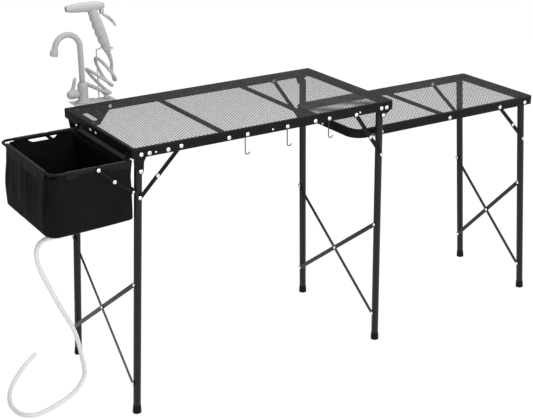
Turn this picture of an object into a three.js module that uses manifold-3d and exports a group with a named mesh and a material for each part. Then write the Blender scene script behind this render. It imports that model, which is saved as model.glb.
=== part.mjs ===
import * as THREE from 'three';
import { mergeVertices } from 'three/addons/utils/BufferGeometryUtils.js';
import Module from 'manifold-3d';

// A folding camping table with a mesh top, a lower side table, a hanging sink and a tap.
// Millimetres. X runs along the tables, Y from the front to the back, Z up from the floor.
// X and Y are counted from the main table's front left corner until the last step.

const wasm = await Module();
wasm.setup();

// Driving dimensions
const sheet = 1.5;                // steel of the rails
const plate = 1.3;                // steel of bars and hanger plates
const linkPlate = 1;              // steel of folding links
const fitGap = 0.3;               // between pieces that touch
const runGap = 0.6;               // round a pin in its hole
const weld = 0.2;                 // how deep joined pieces run into each other
const overrun = 10;               // how far a cut reaches past its piece

const mainTop = {
  start: 0, front: 0, length: 865, depth: 462, height: 800,
  rail: 28, flange: 12, leftRadius: 9, rightRadius: 9,
};
const sideSize = {
  tuckedIn: 105, frontGap: 50, backGap: 64, length: 724, drop: 93,
  rail: 28, flange: 12, leftRadius: 45, rightRadius: 10,
};
const endOf = (deck) => deck.start + deck.length;
const backOf = (deck) => deck.front + deck.depth;
const sideTop = {
  ...sideSize,
  start: endOf(mainTop) - sideSize.tuckedIn,
  front: mainTop.front + sideSize.frontGap,
  depth: mainTop.depth - sideSize.frontGap - sideSize.backGap,
  height: mainTop.height - sideSize.drop,
};
const net = { thickness: 1.5, border: 7, strand: 6, cornerShare: 0.5 };
const bar = { width: 10, height: 10 };

const tube = { radius: 11, wall: 1.2, sides: 12 };
const foot = { radius: 12.8, topRadius: 12.3, height: 25, floor: 4, sides: 12 };
const leftLegs = {
  deck: mainTop, out: -1, footOut: 17.5, topIn: 27, footInset: 19.6, topInset: 20, pivotDrop: 66.4, rise: 10,
};
const rightLegs = {
  deck: mainTop, out: 1, footOut: -31, topIn: 37, footInset: 19.6, topInset: 22, pivotDrop: 41.4, rise: 10,
};
const sideLegs = {
  deck: sideTop, out: 1, footOut: 21, topIn: 35, footInset: 14, topInset: 19.6, pivotDrop: 19, rise: 8,
};
const brace = { upper: 401, lower: 95, width: 12 };
const tieBar = { drop: 123, width: 12 };

const link = { width: 10 };
const leftStrut = { legs: leftLegs, topIn: 146, topDrop: 16, legDrop: 142.4, upper: 102 };
const rightStrut = { legs: rightLegs, topIn: 137, topDrop: 24, legDrop: 167, upper: 98 };
const sideStrut = { legs: sideLegs, topIn: 142, topDrop: 18.5, legDrop: 147, upper: 97 };

const rivet = { radius: 6.2, height: 2.2, smallRadius: 3, smallHeight: 1.4, flatHeight: 0.8, sides: 6 };
const pin = { radius: 3, headRadius: 5.5 };
const bolt = { radius: 4, headRadius: 6.5, headHeight: 1.8, drop: 21 };
const boltHook = { stand: 4.7, toe: 4, spineGap: 2.5, spine: 10, above: 14, below: 6 };

const hook = { wire: 1.5, drop: 50, bend: 8, head: 4.5, hole: 2.4, aboveEdge: 5 };

const basinSize = {
  length: 225, gap: 5, frontGap: 12, backGap: 90, drop: 38, depth: 182,
  rod: 4, cornerRadius: 35, hingeRadius: 14, wall: 2, floorShare: 0.94, flareShare: 1.09,
  clearOfClips: 8,
};
const basin = {
  ...basinSize,
  right: mainTop.start - basinSize.gap,
  left: mainTop.start - basinSize.gap - basinSize.length,
  front: mainTop.front + basinSize.frontGap,
  back: backOf(mainTop) - basinSize.backGap,
  height: mainTop.height - basinSize.drop,
};
const basinStrut = { rimOut: 90, rimDrop: 5, kneeOut: 46, kneeDrop: 46, footIn: 6.5, width: 10 };
const clip = { width: 3, drop: 6.5, rise: 28, inset: 14 };
const drain = { out: 110, flange: 26, neck: 19.4, bore: 5, pipe: 7.5, pipeLength: 16, lip: 2.5 };
const drainHose = { radius: 6.5, steps: 60 };

const shelf = { start: 30, end: 172, reach: 60, thickness: 2, drop: 24, flangeEnd: 120 };
const gusset = {
  thickness: 1.5, inset: 3, length: 122, depth: 204, slotIn: 34, slotNear: 48, slotFar: 156, slotHalf: 9,
};
const tap = {
  x: 75, behind: 28, baseRadius: 22, baseHeight: 5, bodyRadius: 15.5, bodyHeight: 60, topShare: 0.8,
  spoutRadius: 8.6, arch: 41, rise: 107, tip: 2, aeratorRadius: 12, aeratorLength: 18,
};
const lever = { hubRadius: 13.5, hubLength: 24, up: 27, bladeHeight: 50, bladeWidth: 11, bladeThickness: 5 };
const sprayer = {
  endX: 166, endUp: 134, neckX: 118, neckUp: 276, noseX: 38, tailX: 158, headUp: 283,
  handleRadius: 17, headRadius: 14, ear: 2, earGap: 8.6, earX: 150, earUp: 261, earRadius: 5,
};
const handleShares = [0.353, 0.824, 0.971, 1, 0.941, 0.824];
const headShares = [0.643, 0.929, 1, 1, 0.893, 0.429];
const trigger = { width: 8, thickness: 5, reach: 44, drop: 43, slant: 3.5 };
const triggerShares = [[0, 0], [0.341, 0.163], [0.636, 0.395], [0.864, 0.698], [1, 1]];
const sprayHose = { radius: 4.8, sides: 6, stepsPerLoop: 24, depth: 38 };
const stand = { wire: 2.5, x: 128, behindTap: 5, ringX: 158.5, ringUp: 153, ringRadius: 18.6 };

// How finely round things are drawn
const sides = { hole: 8, wire: 6, hook: 6, hose: 8, spout: 10, rod: 12, turned: 16 };
const archSteps = 10;
const ringSteps = 14;
const rivetLine = 19;             // below the top
const seamShare = 0.556;          // where the two halves of a rail ring meet
const splice = { half: 32, pitch: 38, margin: 3 };
const arcSteps = 5;
const bendSteps = 4;
const domeRadiusShare = 0.74;
const domeHeightShare = 0.72;

// Finishes, as seen on the object
const finishes = {
  blackPaint: { color: 0x232327, roughness: 0.45, metalness: 0.3 },
  mesh: { color: 0x1c1c20, roughness: 0.5, metalness: 0.4 },
  nickel: { color: 0xe4e4e2, roughness: 0.25, metalness: 0.9 },
  rubber: { color: 0x17171a, roughness: 0.8, metalness: 0 },
  darkWire: { color: 0x2a2a2e, roughness: 0.35, metalness: 0.6 },
  pvc: { color: 0x1d1d22, roughness: 0.3, metalness: 0 },
  greyPlastic: { color: 0xb2b2b2, roughness: 0.5, metalness: 0 },
  paleHose: { color: 0xe6e6e6, roughness: 0.4, metalness: 0 },
};

// Shared shapes
const vec = (x, y, z) => new THREE.Vector3(x, y, z);
const alongY = vec(0, 1, 0);
const alongZ = vec(0, 0, 1);

// One closed surface with shared corners and its faces pointing out.
function tidied(geometry) {
  const bare = geometry.clone();
  bare.deleteAttribute('normal');
  bare.deleteAttribute('uv');
  const whole = mergeVertices(bare, 1e-4);
  const at = whole.attributes.position;
  const corners = [];
  const [a, b, c] = [vec(0, 0, 0), vec(0, 0, 0), vec(0, 0, 0)];
  let volume = 0;
  for (let i = 0; i < whole.index.count; i += 3) {
    const three = [0, 1, 2].map((k) => whole.index.getX(i + k));
    if (new Set(three).size < 3) continue;
    corners.push(three);
    a.fromBufferAttribute(at, three[0]);
    b.fromBufferAttribute(at, three[1]);
    c.fromBufferAttribute(at, three[2]);
    volume += a.dot(b.cross(c));
  }
  const index = corners.flatMap(([p, q, r]) => (volume > 0 ? [p, q, r] : [p, r, q]));
  whole.setIndex(index);
  whole.clearGroups();
  return whole;
}

function toManifold(geometry) {
  const whole = tidied(geometry);
  const mesh = new wasm.Mesh({
    numProp: 3,
    vertProperties: new Float32Array(whole.attributes.position.array),
    triVerts: new Uint32Array(whole.index.array),
  });
  return new wasm.Manifold(mesh);
}

function fromManifold(manifold) {
  const { vertProperties, triVerts, numProp } = manifold.getMesh();
  const geometry = new THREE.BufferGeometry();
  const places = [];
  for (let i = 0; i < vertProperties.length; i += numProp) {
    places.push(vertProperties[i], vertProperties[i + 1], vertProperties[i + 2]);
  }
  geometry.setAttribute('position', new THREE.Float32BufferAttribute(places, 3));
  geometry.setIndex(Array.from(triVerts));
  return geometry;
}

function cut(geometry, ...tools) {
  let result = toManifold(geometry);
  for (const tool of tools) result = result.subtract(toManifold(tool));
  return fromManifold(result);
}

function join(...geometries) {
  let result = toManifold(geometries[0]);
  for (const other of geometries.slice(1)) result = result.add(toManifold(other));
  return fromManifold(result);
}

function within(geometry, box) {
  return fromManifold(toManifold(geometry).intersect(toManifold(box)));
}

function block(x0, x1, y0, y1, z0, z1) {
  const geometry = new THREE.BoxGeometry(x1 - x0, y1 - y0, z1 - z0);
  return geometry.translate((x0 + x1) / 2, (y0 + y1) / 2, (z0 + z1) / 2);
}

function circle(radius, sides, x = 0, y = 0) {
  const points = [];
  for (let i = 0; i < sides; i += 1) {
    const angle = ((i + 0.5) / sides) * 2 * Math.PI;
    points.push(new THREE.Vector2(x + radius * Math.cos(angle), y + radius * Math.sin(angle)));
  }
  return points;
}

function prism(shape, depth) {
  return new THREE.ExtrudeGeometry(shape, { depth, bevelEnabled: false, curveSegments: arcSteps });
}

// Lays a solid that was drawn along +Z from the origin onto the line from one point towards another.
function aimed(geometry, from, direction) {
  const turn = new THREE.Quaternion().setFromUnitVectors(alongZ, direction.clone().normalize());
  return geometry.applyQuaternion(turn).translate(from.x, from.y, from.z);
}

function rod(from, to, radius, sides) {
  const along = to.clone().sub(from);
  return aimed(prism(new THREE.Shape(circle(radius, sides)), along.length()), from, along);
}

function pipe(from, to, radius, wall, sides) {
  const along = to.clone().sub(from);
  const section = new THREE.Shape(circle(radius, sides));
  section.holes.push(new THREE.Path(circle(radius - wall, sides)));
  return aimed(prism(section, along.length()), from, along);
}

// A solid of revolution round +Z, from [radius, height] pairs that start and end on the axis.
function turned(profile, sides) {
  const points = profile.map(([radius, height]) => new THREE.Vector2(radius, height));
  return new THREE.LatheGeometry(points, sides).rotateX(Math.PI / 2);
}

function dome(at, direction, radius = rivet.radius, height = rivet.height) {
  const shoulder = [radius * domeRadiusShare, height * domeHeightShare];
  const profile = [[0, 0], [radius, 0], shoulder, [0, height]];
  return aimed(turned(profile, rivet.sides), at, direction);
}

// A pin whose head stands on a plane at the given point and whose shank runs back from it.
function headedPin(at, direction, shank, headHeight, headRadius = rivet.radius, radius = pin.radius) {
  const profile = [
    [0, -shank], [radius, -shank], [radius, 0], [headRadius, 0],
    [headRadius * domeRadiusShare, headHeight * domeHeightShare], [0, headHeight],
  ];
  return aimed(turned(profile, rivet.sides), at, direction);
}

// A flat bar with round ends between two points, with its thickness along the normal.
function strap(from, to, normal, width, thickness, holes = []) {
  const along = to.clone().sub(from);
  const length = along.length();
  const outline = new THREE.Shape();
  outline.absarc(0, 0, width / 2, Math.PI / 2, 1.5 * Math.PI, false);
  outline.absarc(length, 0, width / 2, -Math.PI / 2, Math.PI / 2, false);
  for (const share of holes) {
    outline.holes.push(new THREE.Path(circle(pin.radius + runGap, sides.hole, share * length)));
  }
  const geometry = prism(outline, thickness);
  const across = normal.clone().cross(along.clone().normalize());
  const basis = new THREE.Matrix4().makeBasis(along.normalize(), across, normal);
  return geometry.applyMatrix4(basis).translate(from.x, from.y, from.z);
}

// A route through chosen points, with no other points between them.
class Route extends THREE.Curve {
  constructor(points) {
    super();
    this.points = points;
  }

  getPoint(share, target = new THREE.Vector3()) {
    const place = share * (this.points.length - 1);
    const i = Math.min(Math.max(Math.floor(place), 0), this.points.length - 2);
    return target.copy(this.points[i]).lerp(this.points[i + 1], place - i);
  }

  getUtoTmapping(share) {
    return share;
  }
}

function sweep(points, radius, sides) {
  const section = new THREE.Shape(circle(radius, sides));
  const settings = { steps: points.length - 1, extrudePath: new Route(points), bevelEnabled: false };
  return new THREE.ExtrudeGeometry(section, settings);
}

// The corner points of a bent wire or tube, with each inner corner rounded.
function bent(corners, radius) {
  const points = [corners[0]];
  for (let i = 1; i < corners.length - 1; i += 1) {
    const before = corners[i - 1].clone().sub(corners[i]);
    const after = corners[i + 1].clone().sub(corners[i]);
    const reach = Math.min(radius, before.length() / 2, after.length() / 2);
    const curve = new THREE.QuadraticBezierCurve3(
      corners[i].clone().addScaledVector(before.normalize(), reach),
      corners[i],
      corners[i].clone().addScaledVector(after.normalize(), reach),
    );
    points.push(...curve.getPoints(bendSteps));
  }
  points.push(corners[corners.length - 1]);
  return points;
}

function roundedOutline(x0, x1, y0, y1, leftRadius, rightRadius, Kind = THREE.Shape) {
  const outline = new Kind();
  outline.absarc(x0 + leftRadius, y0 + leftRadius, leftRadius, Math.PI, 1.5 * Math.PI, false);
  outline.absarc(x1 - rightRadius, y0 + rightRadius, rightRadius, 1.5 * Math.PI, 2 * Math.PI, false);
  outline.absarc(x1 - rightRadius, y1 - rightRadius, rightRadius, 0, Math.PI / 2, false);
  outline.absarc(x0 + leftRadius, y1 - leftRadius, leftRadius, Math.PI / 2, Math.PI, false);
  outline.closePath();
  return outline;
}

const table = new THREE.Group();

function node(parent, name, geometry, finish) {
  const material = new THREE.MeshStandardMaterial(finishes[finish]);
  const mesh = new THREE.Mesh(tidied(geometry), material);
  mesh.name = name;
  mesh.material.name = finish;
  parent.add(mesh);
  return mesh;
}

// Places on a deck: the faces of its front and back rails, and the way out of them.
function railSides(deck) {
  return [
    { face: deck.front, out: -1, outward: vec(0, -1, 0) },
    { face: backOf(deck), out: 1, outward: vec(0, 1, 0) },
  ];
}

const netTop = (deck) => deck.height;
const netBottom = (deck) => deck.height - net.thickness;
const flangeTop = (deck) => netBottom(deck) - fitGap;
const flangeBottom = (deck) => flangeTop(deck) - sheet;
const railBottom = (deck) => deck.height - deck.rail;

// Layers behind a rail's face, counted inwards: hanger plate, upper link, pin heads, lower link.
const hangerLayer = sheet - weld;
const upperLayer = hangerLayer + plate + fitGap;
const headLayer = upperLayer + linkPlate + fitGap;
const lowerLayer = headLayer + rivet.flatHeight + fitGap;

// A ring of rolled angle, drilled through its front and back.
function railRing(deck, holePlaces) {
  const x1 = endOf(deck);
  const y1 = backOf(deck);
  const ring = (width, z0, z1) => {
    const outline = roundedOutline(deck.start, x1, deck.front, y1, deck.leftRadius, deck.rightRadius);
    outline.holes.push(roundedOutline(
      deck.start + width, x1 - width, deck.front + width, y1 - width,
      Math.max(deck.leftRadius - width, sheet), Math.max(deck.rightRadius - width, sheet), THREE.Path,
    ));
    return prism(outline, z1 - z0).translate(0, 0, z0);
  };
  const whole = join(
    ring(sheet, railBottom(deck), flangeTop(deck)),
    ring(deck.flange, flangeBottom(deck), flangeTop(deck)),
  );
  const holes = holePlaces.map(([side, x, z, radius]) => rod(
    vec(x, side.face + side.out * overrun, z), vec(x, side.face - side.out * overrun / 2, z),
    radius, sides.hole,
  ));
  return { whole, holes };
}

// The half of a rail ring in front of or behind its seam, with what is riveted to it.
function railHalf(deck, ring, isBack, additions) {
  const seam = deck.front + deck.depth * seamShare;
  const reach = deck.depth + overrun;
  const [y0, y1] = isBack ? [seam + fitGap / 2, seam + reach] : [seam - reach, seam - fitGap / 2];
  const box = block(
    deck.start - overrun, endOf(deck) + overrun, y0, y1,
    railBottom(deck) - overrun, deck.height + overrun,
  );
  return cut(join(within(ring.whole, box), ...additions), ...ring.holes);
}

// A plate behind the seam at each end, riveted to the front half.
function splices(deck) {
  const seam = deck.front + deck.depth * seamShare;
  const low = railBottom(deck) + splice.margin;
  const high = flangeBottom(deck) - splice.margin;
  const ends = [[deck.start, 1], [endOf(deck), -1]];
  return ends.flatMap(([face, inward]) => {
    const outer = face + inward * (sheet + fitGap);
    const inner = outer + inward * plate;
    const sheetPlate = block(
      Math.min(outer, inner), Math.max(outer, inner), seam - splice.half, seam + splice.half, low, high,
    );
    const at = vec(face + inward * weld, seam - splice.pitch / 2, deck.height - rivetLine);
    return [sheetPlate, headedPin(at, vec(-inward, 0, 0), sheet + fitGap + plate / 2, rivet.height)];
  });
}

function spliceHeads(deck) {
  const y = deck.front + deck.depth * seamShare + splice.pitch / 2;
  const z = deck.height - rivetLine;
  return [
    dome(vec(deck.start + weld, y, z), vec(-1, 0, 0)),
    dome(vec(endOf(deck) - weld, y, z), vec(1, 0, 0)),
  ];
}

// The woven top, drawn as a coarse net of diamonds.
const mainNetSteps = [9, 5];
const sideNetSteps = [8, 4];

function netPanel(deck, [across, deep]) {
  const x1 = endOf(deck);
  const y1 = backOf(deck);
  const outline = roundedOutline(deck.start, x1, deck.front, y1, deck.leftRadius, deck.rightRadius);
  const pitchX = (deck.length - 2 * net.border) / across;
  const pitchY = (deck.depth - 2 * net.border) / deep;
  const halfX = pitchX / 2 - net.strand / 2;
  const halfY = pitchY / 2 - net.strand / 2;
  const hole = (x, y) => new THREE.Path([
    new THREE.Vector2(x - halfX, y), new THREE.Vector2(x, y - halfY),
    new THREE.Vector2(x + halfX, y), new THREE.Vector2(x, y + halfY),
  ]);
  const keep = Math.max(deck.leftRadius, deck.rightRadius) * net.cornerShare;
  for (let i = 0; i < across; i += 1) {
    for (let j = 0; j < deep; j += 1) {
      const x = deck.start + net.border + (i + 0.5) * pitchX;
      const y = deck.front + net.border + (j + 0.5) * pitchY;
      const nearEnd = Math.min(x - deck.start, x1 - x) < keep;
      const nearSide = Math.min(y - deck.front, y1 - y) < keep;
      if (!(nearEnd && nearSide)) outline.holes.push(hole(x, y));
    }
  }
  for (let i = 1; i < across; i += 1) {
    for (let j = 1; j < deep; j += 1) {
      const x = deck.start + net.border + i * pitchX;
      const y = deck.front + net.border + j * pitchY;
      outline.holes.push(hole(x, y));
    }
  }
  return prism(outline, net.thickness).translate(0, 0, netBottom(deck));
}

function crossbar(deck, share) {
  const x = deck.start + share * deck.length;
  const inset = sheet + fitGap;
  const top = flangeBottom(deck) - fitGap;
  return block(
    x - bar.width / 2, x + bar.width / 2,
    deck.front + inset, backOf(deck) - inset,
    top - bar.height, top,
  );
}

// Where a pair of legs is at a height: its X and its distance in from the rails' faces.
const legEnd = (legs) => (legs.out < 0 ? legs.deck.start : endOf(legs.deck));
const footXOf = (legs) => legEnd(legs) + legs.out * legs.footOut;

function legAt(legs, height) {
  const share = height / legs.deck.height;
  const topX = legEnd(legs) - legs.out * legs.topIn;
  return {
    x: footXOf(legs) + (topX - footXOf(legs)) * share,
    inset: legs.footInset + (legs.topInset - legs.footInset) * share,
  };
}

const boltHeight = sideTop.height - bolt.drop;
const boltX = legAt(rightLegs, boltHeight).x;
const pivotHeightOf = (legs) => legs.deck.height - legs.pivotDrop;
const pivotOf = (legs) => vec(legAt(legs, pivotHeightOf(legs)).x, 0, pivotHeightOf(legs));
const leanOf = (legs) => Math.atan2(pivotOf(legs).x - footXOf(legs), pivotHeightOf(legs));
const lengthOf = (legs) => Math.hypot(pivotOf(legs).x - footXOf(legs), pivotHeightOf(legs));

// A strut's three pivots in the plane of X and Z.
function strutPoints(strut) {
  const { deck, out } = strut.legs;
  const legHeight = deck.height - strut.legDrop;
  const top = vec(legEnd(strut.legs) - out * strut.topIn, 0, deck.height - strut.topDrop);
  const leg = vec(legAt(strut.legs, legHeight).x, 0, legHeight);
  const knee = top.clone().lerp(leg, strut.upper / top.distanceTo(leg));
  return { top, leg, knee };
}

// A hanger plate behind a rail's face, flat in X and Z.
function hangerPlate(side, points) {
  const outline = new THREE.Shape(points.map(([x, z]) => new THREE.Vector2(x, z)));
  const outer = side.face - side.out * hangerLayer;
  const inner = outer - side.out * plate;
  return prism(outline, plate).rotateX(Math.PI / 2).translate(0, Math.max(inner, outer), 0);
}

function legPlate(legs, side, leftEdge, rightEdge) {
  const pivot = pivotOf(legs);
  const top = flangeBottom(legs.deck) + weld;
  const ear = pin.headRadius + sheet * 2;
  const shoulder = Math.max(railBottom(legs.deck), pivot.z);
  const round = [0, 0.25, 0.5, 0.75, 1].map((share) => {
    const angle = Math.PI * (1 + share);
    return [pivot.x + ear * Math.cos(angle), pivot.z + ear * Math.sin(angle)];
  });
  return hangerPlate(side, [
    [leftEdge, top], [leftEdge, shoulder], ...round, [rightEdge, shoulder], [rightEdge, top],
  ]);
}

const plateShoulderShare = 0.4;
const plateLowShare = 0.9;

function strutPlate(strut, side) {
  const half = link.width;
  const pivot = strutPoints(strut).top;
  const top = flangeBottom(strut.legs.deck) + weld;
  const shoulder = pivot.z - half * plateShoulderShare;
  const low = pivot.z - half * plateLowShare;
  return hangerPlate(side, [
    [pivot.x - half, top], [pivot.x - half, shoulder], [pivot.x - half / 2, low],
    [pivot.x + half / 2, low], [pivot.x + half, shoulder], [pivot.x + half, top],
  ]);
}

// The pin that a strut's upper link turns on: a domed head outside and a flat one inside.
function strutPin(strut, side) {
  const pivot = strutPoints(strut).top;
  const outside = vec(pivot.x, side.face - side.out * weld, pivot.z);
  const inside = vec(pivot.x, side.face - side.out * headLayer, pivot.z);
  const inward = side.outward.clone().negate();
  return [
    dome(outside, side.outward),
    headedPin(inside, inward, headLayer - sheet, rivet.flatHeight, pin.headRadius),
  ];
}

// Main table
const hookShares = [0.398, 0.559, 0.724];
const mainCrossbarShares = [1 / 3, 2 / 3];
const sideCrossbarShare = 0.487;
const [mainFront, mainBack] = railSides(mainTop);
const [sideFront, sideBack] = railSides(sideTop);
const hookHeight = railBottom(mainTop) + hook.aboveEdge;
const pinHole = pin.radius + runGap;
const legHole = (legs, side) => [side, pivotOf(legs).x, pivotOf(legs).z, pinHole];

const legPlateReach = pin.headRadius * 2.4;
const sideLegPlateReach = pin.headRadius * 2;

// The clip that hangs the sink's rod from the left end of a rail
function basinClip(y) {
  const rodX = basin.right;
  const body = block(
    rodX - clip.drop, mainTop.start + weld, y - clip.width / 2, y + clip.width / 2,
    basin.height - clip.drop, basin.height + clip.rise,
  );
  const hole = rod(
    vec(rodX, y - overrun, basin.height), vec(rodX, y + overrun, basin.height),
    basin.rod + runGap, sides.turned,
  );
  return cut(body, hole);
}

function mainRailParts(side) {
  return [
    legPlate(leftLegs, side, mainTop.start + mainTop.leftRadius, pivotOf(leftLegs).x + legPlateReach),
    legPlate(rightLegs, side, pivotOf(rightLegs).x - legPlateReach, endOf(mainTop) - mainTop.rightRadius),
    strutPlate(leftStrut, side),
    strutPlate(rightStrut, side),
    ...strutPin(leftStrut, side),
    ...strutPin(rightStrut, side),
  ];
}

function railDomes(deck, side, shares, radius, height) {
  return shares.map((share) => dome(
    vec(deck.start + share * deck.length, side.face - side.out * weld, deck.height - rivetLine),
    side.outward, radius, height,
  ));
}

const frontRivetShares = [0.03, 0.058, 0.123, 0.341, 0.41, 0.563, 0.6737, 0.73, 0.948, 0.97];
const backRivetShares = [0.341, 0.41, 0.563, 0.6737, 0.73, 0.948, 0.97];
const smallRivetShares = [0.08, 0.506, 0.857];
const mainRing = railRing(mainTop, [
  legHole(leftLegs, mainFront), legHole(rightLegs, mainFront),
  legHole(leftLegs, mainBack), legHole(rightLegs, mainBack),
  ...hookShares.map((share) => [mainFront, share * mainTop.length, hookHeight, hook.hole]),
]);
node(table, 'main_front_rail', railHalf(mainTop, mainRing, false, [
  ...mainRailParts(mainFront),
  ...railDomes(mainTop, mainFront, frontRivetShares),
  ...railDomes(mainTop, mainFront, smallRivetShares, rivet.smallRadius, rivet.smallHeight),
  ...splices(mainTop),
  basinClip(basin.front + basin.rod + clip.inset),
]), 'blackPaint');
node(table, 'main_back_rail', railHalf(mainTop, mainRing, true, [
  ...mainRailParts(mainBack),
  ...railDomes(mainTop, mainBack, backRivetShares),
  ...spliceHeads(mainTop),
  basinClip(basin.back - basin.rod - clip.inset),
]), 'blackPaint');
node(table, 'main_mesh', netPanel(mainTop, mainNetSteps), 'mesh');
node(table, 'main_crossbar_left', crossbar(mainTop, mainCrossbarShares[0]), 'blackPaint');
node(table, 'main_crossbar_right', crossbar(mainTop, mainCrossbarShares[1]), 'blackPaint');

// Tap shelf behind the back rail, and the slotted plate under the back left corner
const tapShelfTop = mainTop.height;
const shelfInner = backOf(mainTop) + fitGap;
const tapY = backOf(mainTop) + tap.behind;

function tapShelf() {
  const top = block(
    shelf.start, shelf.end, shelfInner, shelfInner + shelf.reach, tapShelfTop - shelf.thickness, tapShelfTop,
  );
  const apron = block(
    shelf.start, shelf.flangeEnd, shelfInner, shelfInner + shelf.thickness,
    tapShelfTop - shelf.drop, tapShelfTop - shelf.thickness / 2,
  );
  return join(top, apron);
}

const gussetShares = [[0, 1], [0.22, 0.93], [0.9, 0.33], [1, 0], [0.16, 0], [0, 0.1]];

function cornerGusset() {
  const y1 = backOf(mainTop) - gusset.inset;
  const x0 = mainTop.start + gusset.inset;
  const outline = new THREE.Shape(gussetShares.map(([alongShare, downShare]) => (
    new THREE.Vector2(x0 + alongShare * gusset.length, y1 - downShare * gusset.depth)
  )));
  const slot = new THREE.Path();
  const slotX = mainTop.start + gusset.slotIn;
  const slotStart = backOf(mainTop) - gusset.slotFar + gusset.slotHalf;
  const slotEnd = backOf(mainTop) - gusset.slotNear - gusset.slotHalf;
  slot.absarc(slotX, slotStart, gusset.slotHalf, Math.PI, 2 * Math.PI, false);
  slot.absarc(slotX, slotEnd, gusset.slotHalf, 0, Math.PI, false);
  slot.closePath();
  outline.holes.push(slot);
  const z = flangeBottom(mainTop) - fitGap - gusset.thickness;
  return prism(outline, gusset.thickness).translate(0, 0, z);
}
node(table, 'tap_shelf', tapShelf(), 'blackPaint');
node(table, 'corner_plate', cornerGusset(), 'blackPaint');

// Side table
const sideGroup = new THREE.Group();
table.add(sideGroup);

function sideRailParts(side) {
  return [
    legPlate(sideLegs, side, pivotOf(sideLegs).x - sideLegPlateReach, endOf(sideTop) - sideTop.rightRadius),
    strutPlate(sideStrut, side),
    ...strutPin(sideStrut, side),
    ...railDomes(sideTop, side, sideRivetShares),
    ...boltHookParts(side),
  ];
}

// A hook outside a rail that lies over its bolt and is open towards the main table.
function boltHookParts(side) {
  const outer = side.face + side.out * boltHook.stand;
  const inner = outer - side.out * plate;
  const buried = side.face - side.out * weld;
  const layer = (a, b) => [Math.min(a, b), Math.max(a, b)];
  const spineStart = boltX + bolt.headRadius + boltHook.spineGap;
  const spineEnd = spineStart + boltHook.spine;
  const over = boltHeight + bolt.radius + fitGap;
  const top = boltHeight + boltHook.above;
  const low = boltHeight - boltHook.below;
  return [
    block(boltX - boltHook.toe, spineEnd, ...layer(outer, inner), over, top),
    block(spineStart, spineEnd, ...layer(outer, inner), low, top),
    block(spineStart, spineEnd, ...layer(inner + side.out * weld, buried), low, top),
  ];
}

const sideRivetShares = [0.14, 0.513];
const sideRing = railRing(sideTop, [legHole(sideLegs, sideFront), legHole(sideLegs, sideBack)]);
node(sideGroup, 'side_front_rail', railHalf(sideTop, sideRing, false, [
  ...sideRailParts(sideFront), ...splices(sideTop),
]), 'blackPaint');
node(sideGroup, 'side_back_rail', railHalf(sideTop, sideRing, true, [
  ...sideRailParts(sideBack), ...spliceHeads(sideTop),
]), 'blackPaint');
node(sideGroup, 'side_mesh', netPanel(sideTop, sideNetSteps), 'mesh');
node(sideGroup, 'side_crossbar', crossbar(sideTop, sideCrossbarShare), 'blackPaint');

// Legs: each pair is drawn down its own leaning axis, from the pivot in the group's origin.
function legPair(parent, legs, strut, name) {
  const group = new THREE.Group();
  const pivot = pivotOf(legs);
  group.position.copy(pivot);
  group.rotation.y = leanOf(legs);
  group.updateMatrixWorld(true);
  parent.add(group);
  const intoGroup = group.matrixWorld.clone().invert();
  const lean = Math.cos(leanOf(legs));
  const length = lengthOf(legs);
  const rails = railSides(legs.deck);
  const axisPoint = (side, down) => {
    const { inset } = legAt(legs, pivotHeightOf(legs) - down * lean);
    return vec(0, side.face - side.out * inset, -down);
  };
  const isBehindWeb = pivotHeightOf(legs) > railBottom(legs.deck);
  const pivotLayer = isBehindWeb ? -fitGap : hangerLayer - fitGap;
  const strutDown = (strut.legDrop - legs.pivotDrop) / lean;

  const shank = (side, down, layer, height, radius) => {
    const head = vec(0, side.face - side.out * layer, -down);
    return headedPin(head, side.outward, Math.abs(axisPoint(side, down).y - head.y), height, radius);
  };
  const leg = (side) => {
    const end = axisPoint(side, length - foot.floor - fitGap);
    const open = pipe(axisPoint(side, -legs.rise), end, tube.radius, tube.wall, tube.sides);
    return join(
      open,
      shank(side, 0, pivotLayer, rivet.height, rivet.radius),
      shank(side, strutDown, headLayer + rivet.flatHeight, rivet.flatHeight, pin.headRadius),
    );
  };
  const bore = (tube.radius + fitGap) / Math.cos(Math.PI / foot.sides);
  const cap = (side) => {
    const low = axisPoint(side, length + sheet);
    const shape = turned([
      [0, 0], [foot.radius, 0], [foot.topRadius, foot.height], [bore, foot.height],
      [bore, foot.floor + sheet], [0, foot.floor + sheet],
    ], foot.sides);
    const under = block(
      footXOf(legs) - foot.radius * 3, footXOf(legs) + foot.radius * 3,
      low.y - foot.radius * 3, low.y + foot.radius * 3, -foot.height, 0,
    ).applyMatrix4(intoGroup);
    return cut(aimed(shape, low, axisPoint(side, 0).sub(low)), under);
  };
  node(group, `${name}_leg_front`, leg(rails[0]), 'blackPaint');
  node(group, `${name}_leg_rear`, leg(rails[1]), 'blackPaint');
  node(group, `${name}_foot_front`, cap(rails[0]), 'rubber');
  node(group, `${name}_foot_rear`, cap(rails[1]), 'rubber');
  node(group, `${name}_leg_brace`, crossBrace(legs, axisPoint, lean), 'blackPaint');
  return { group, axisPoint, lean };
}

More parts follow.
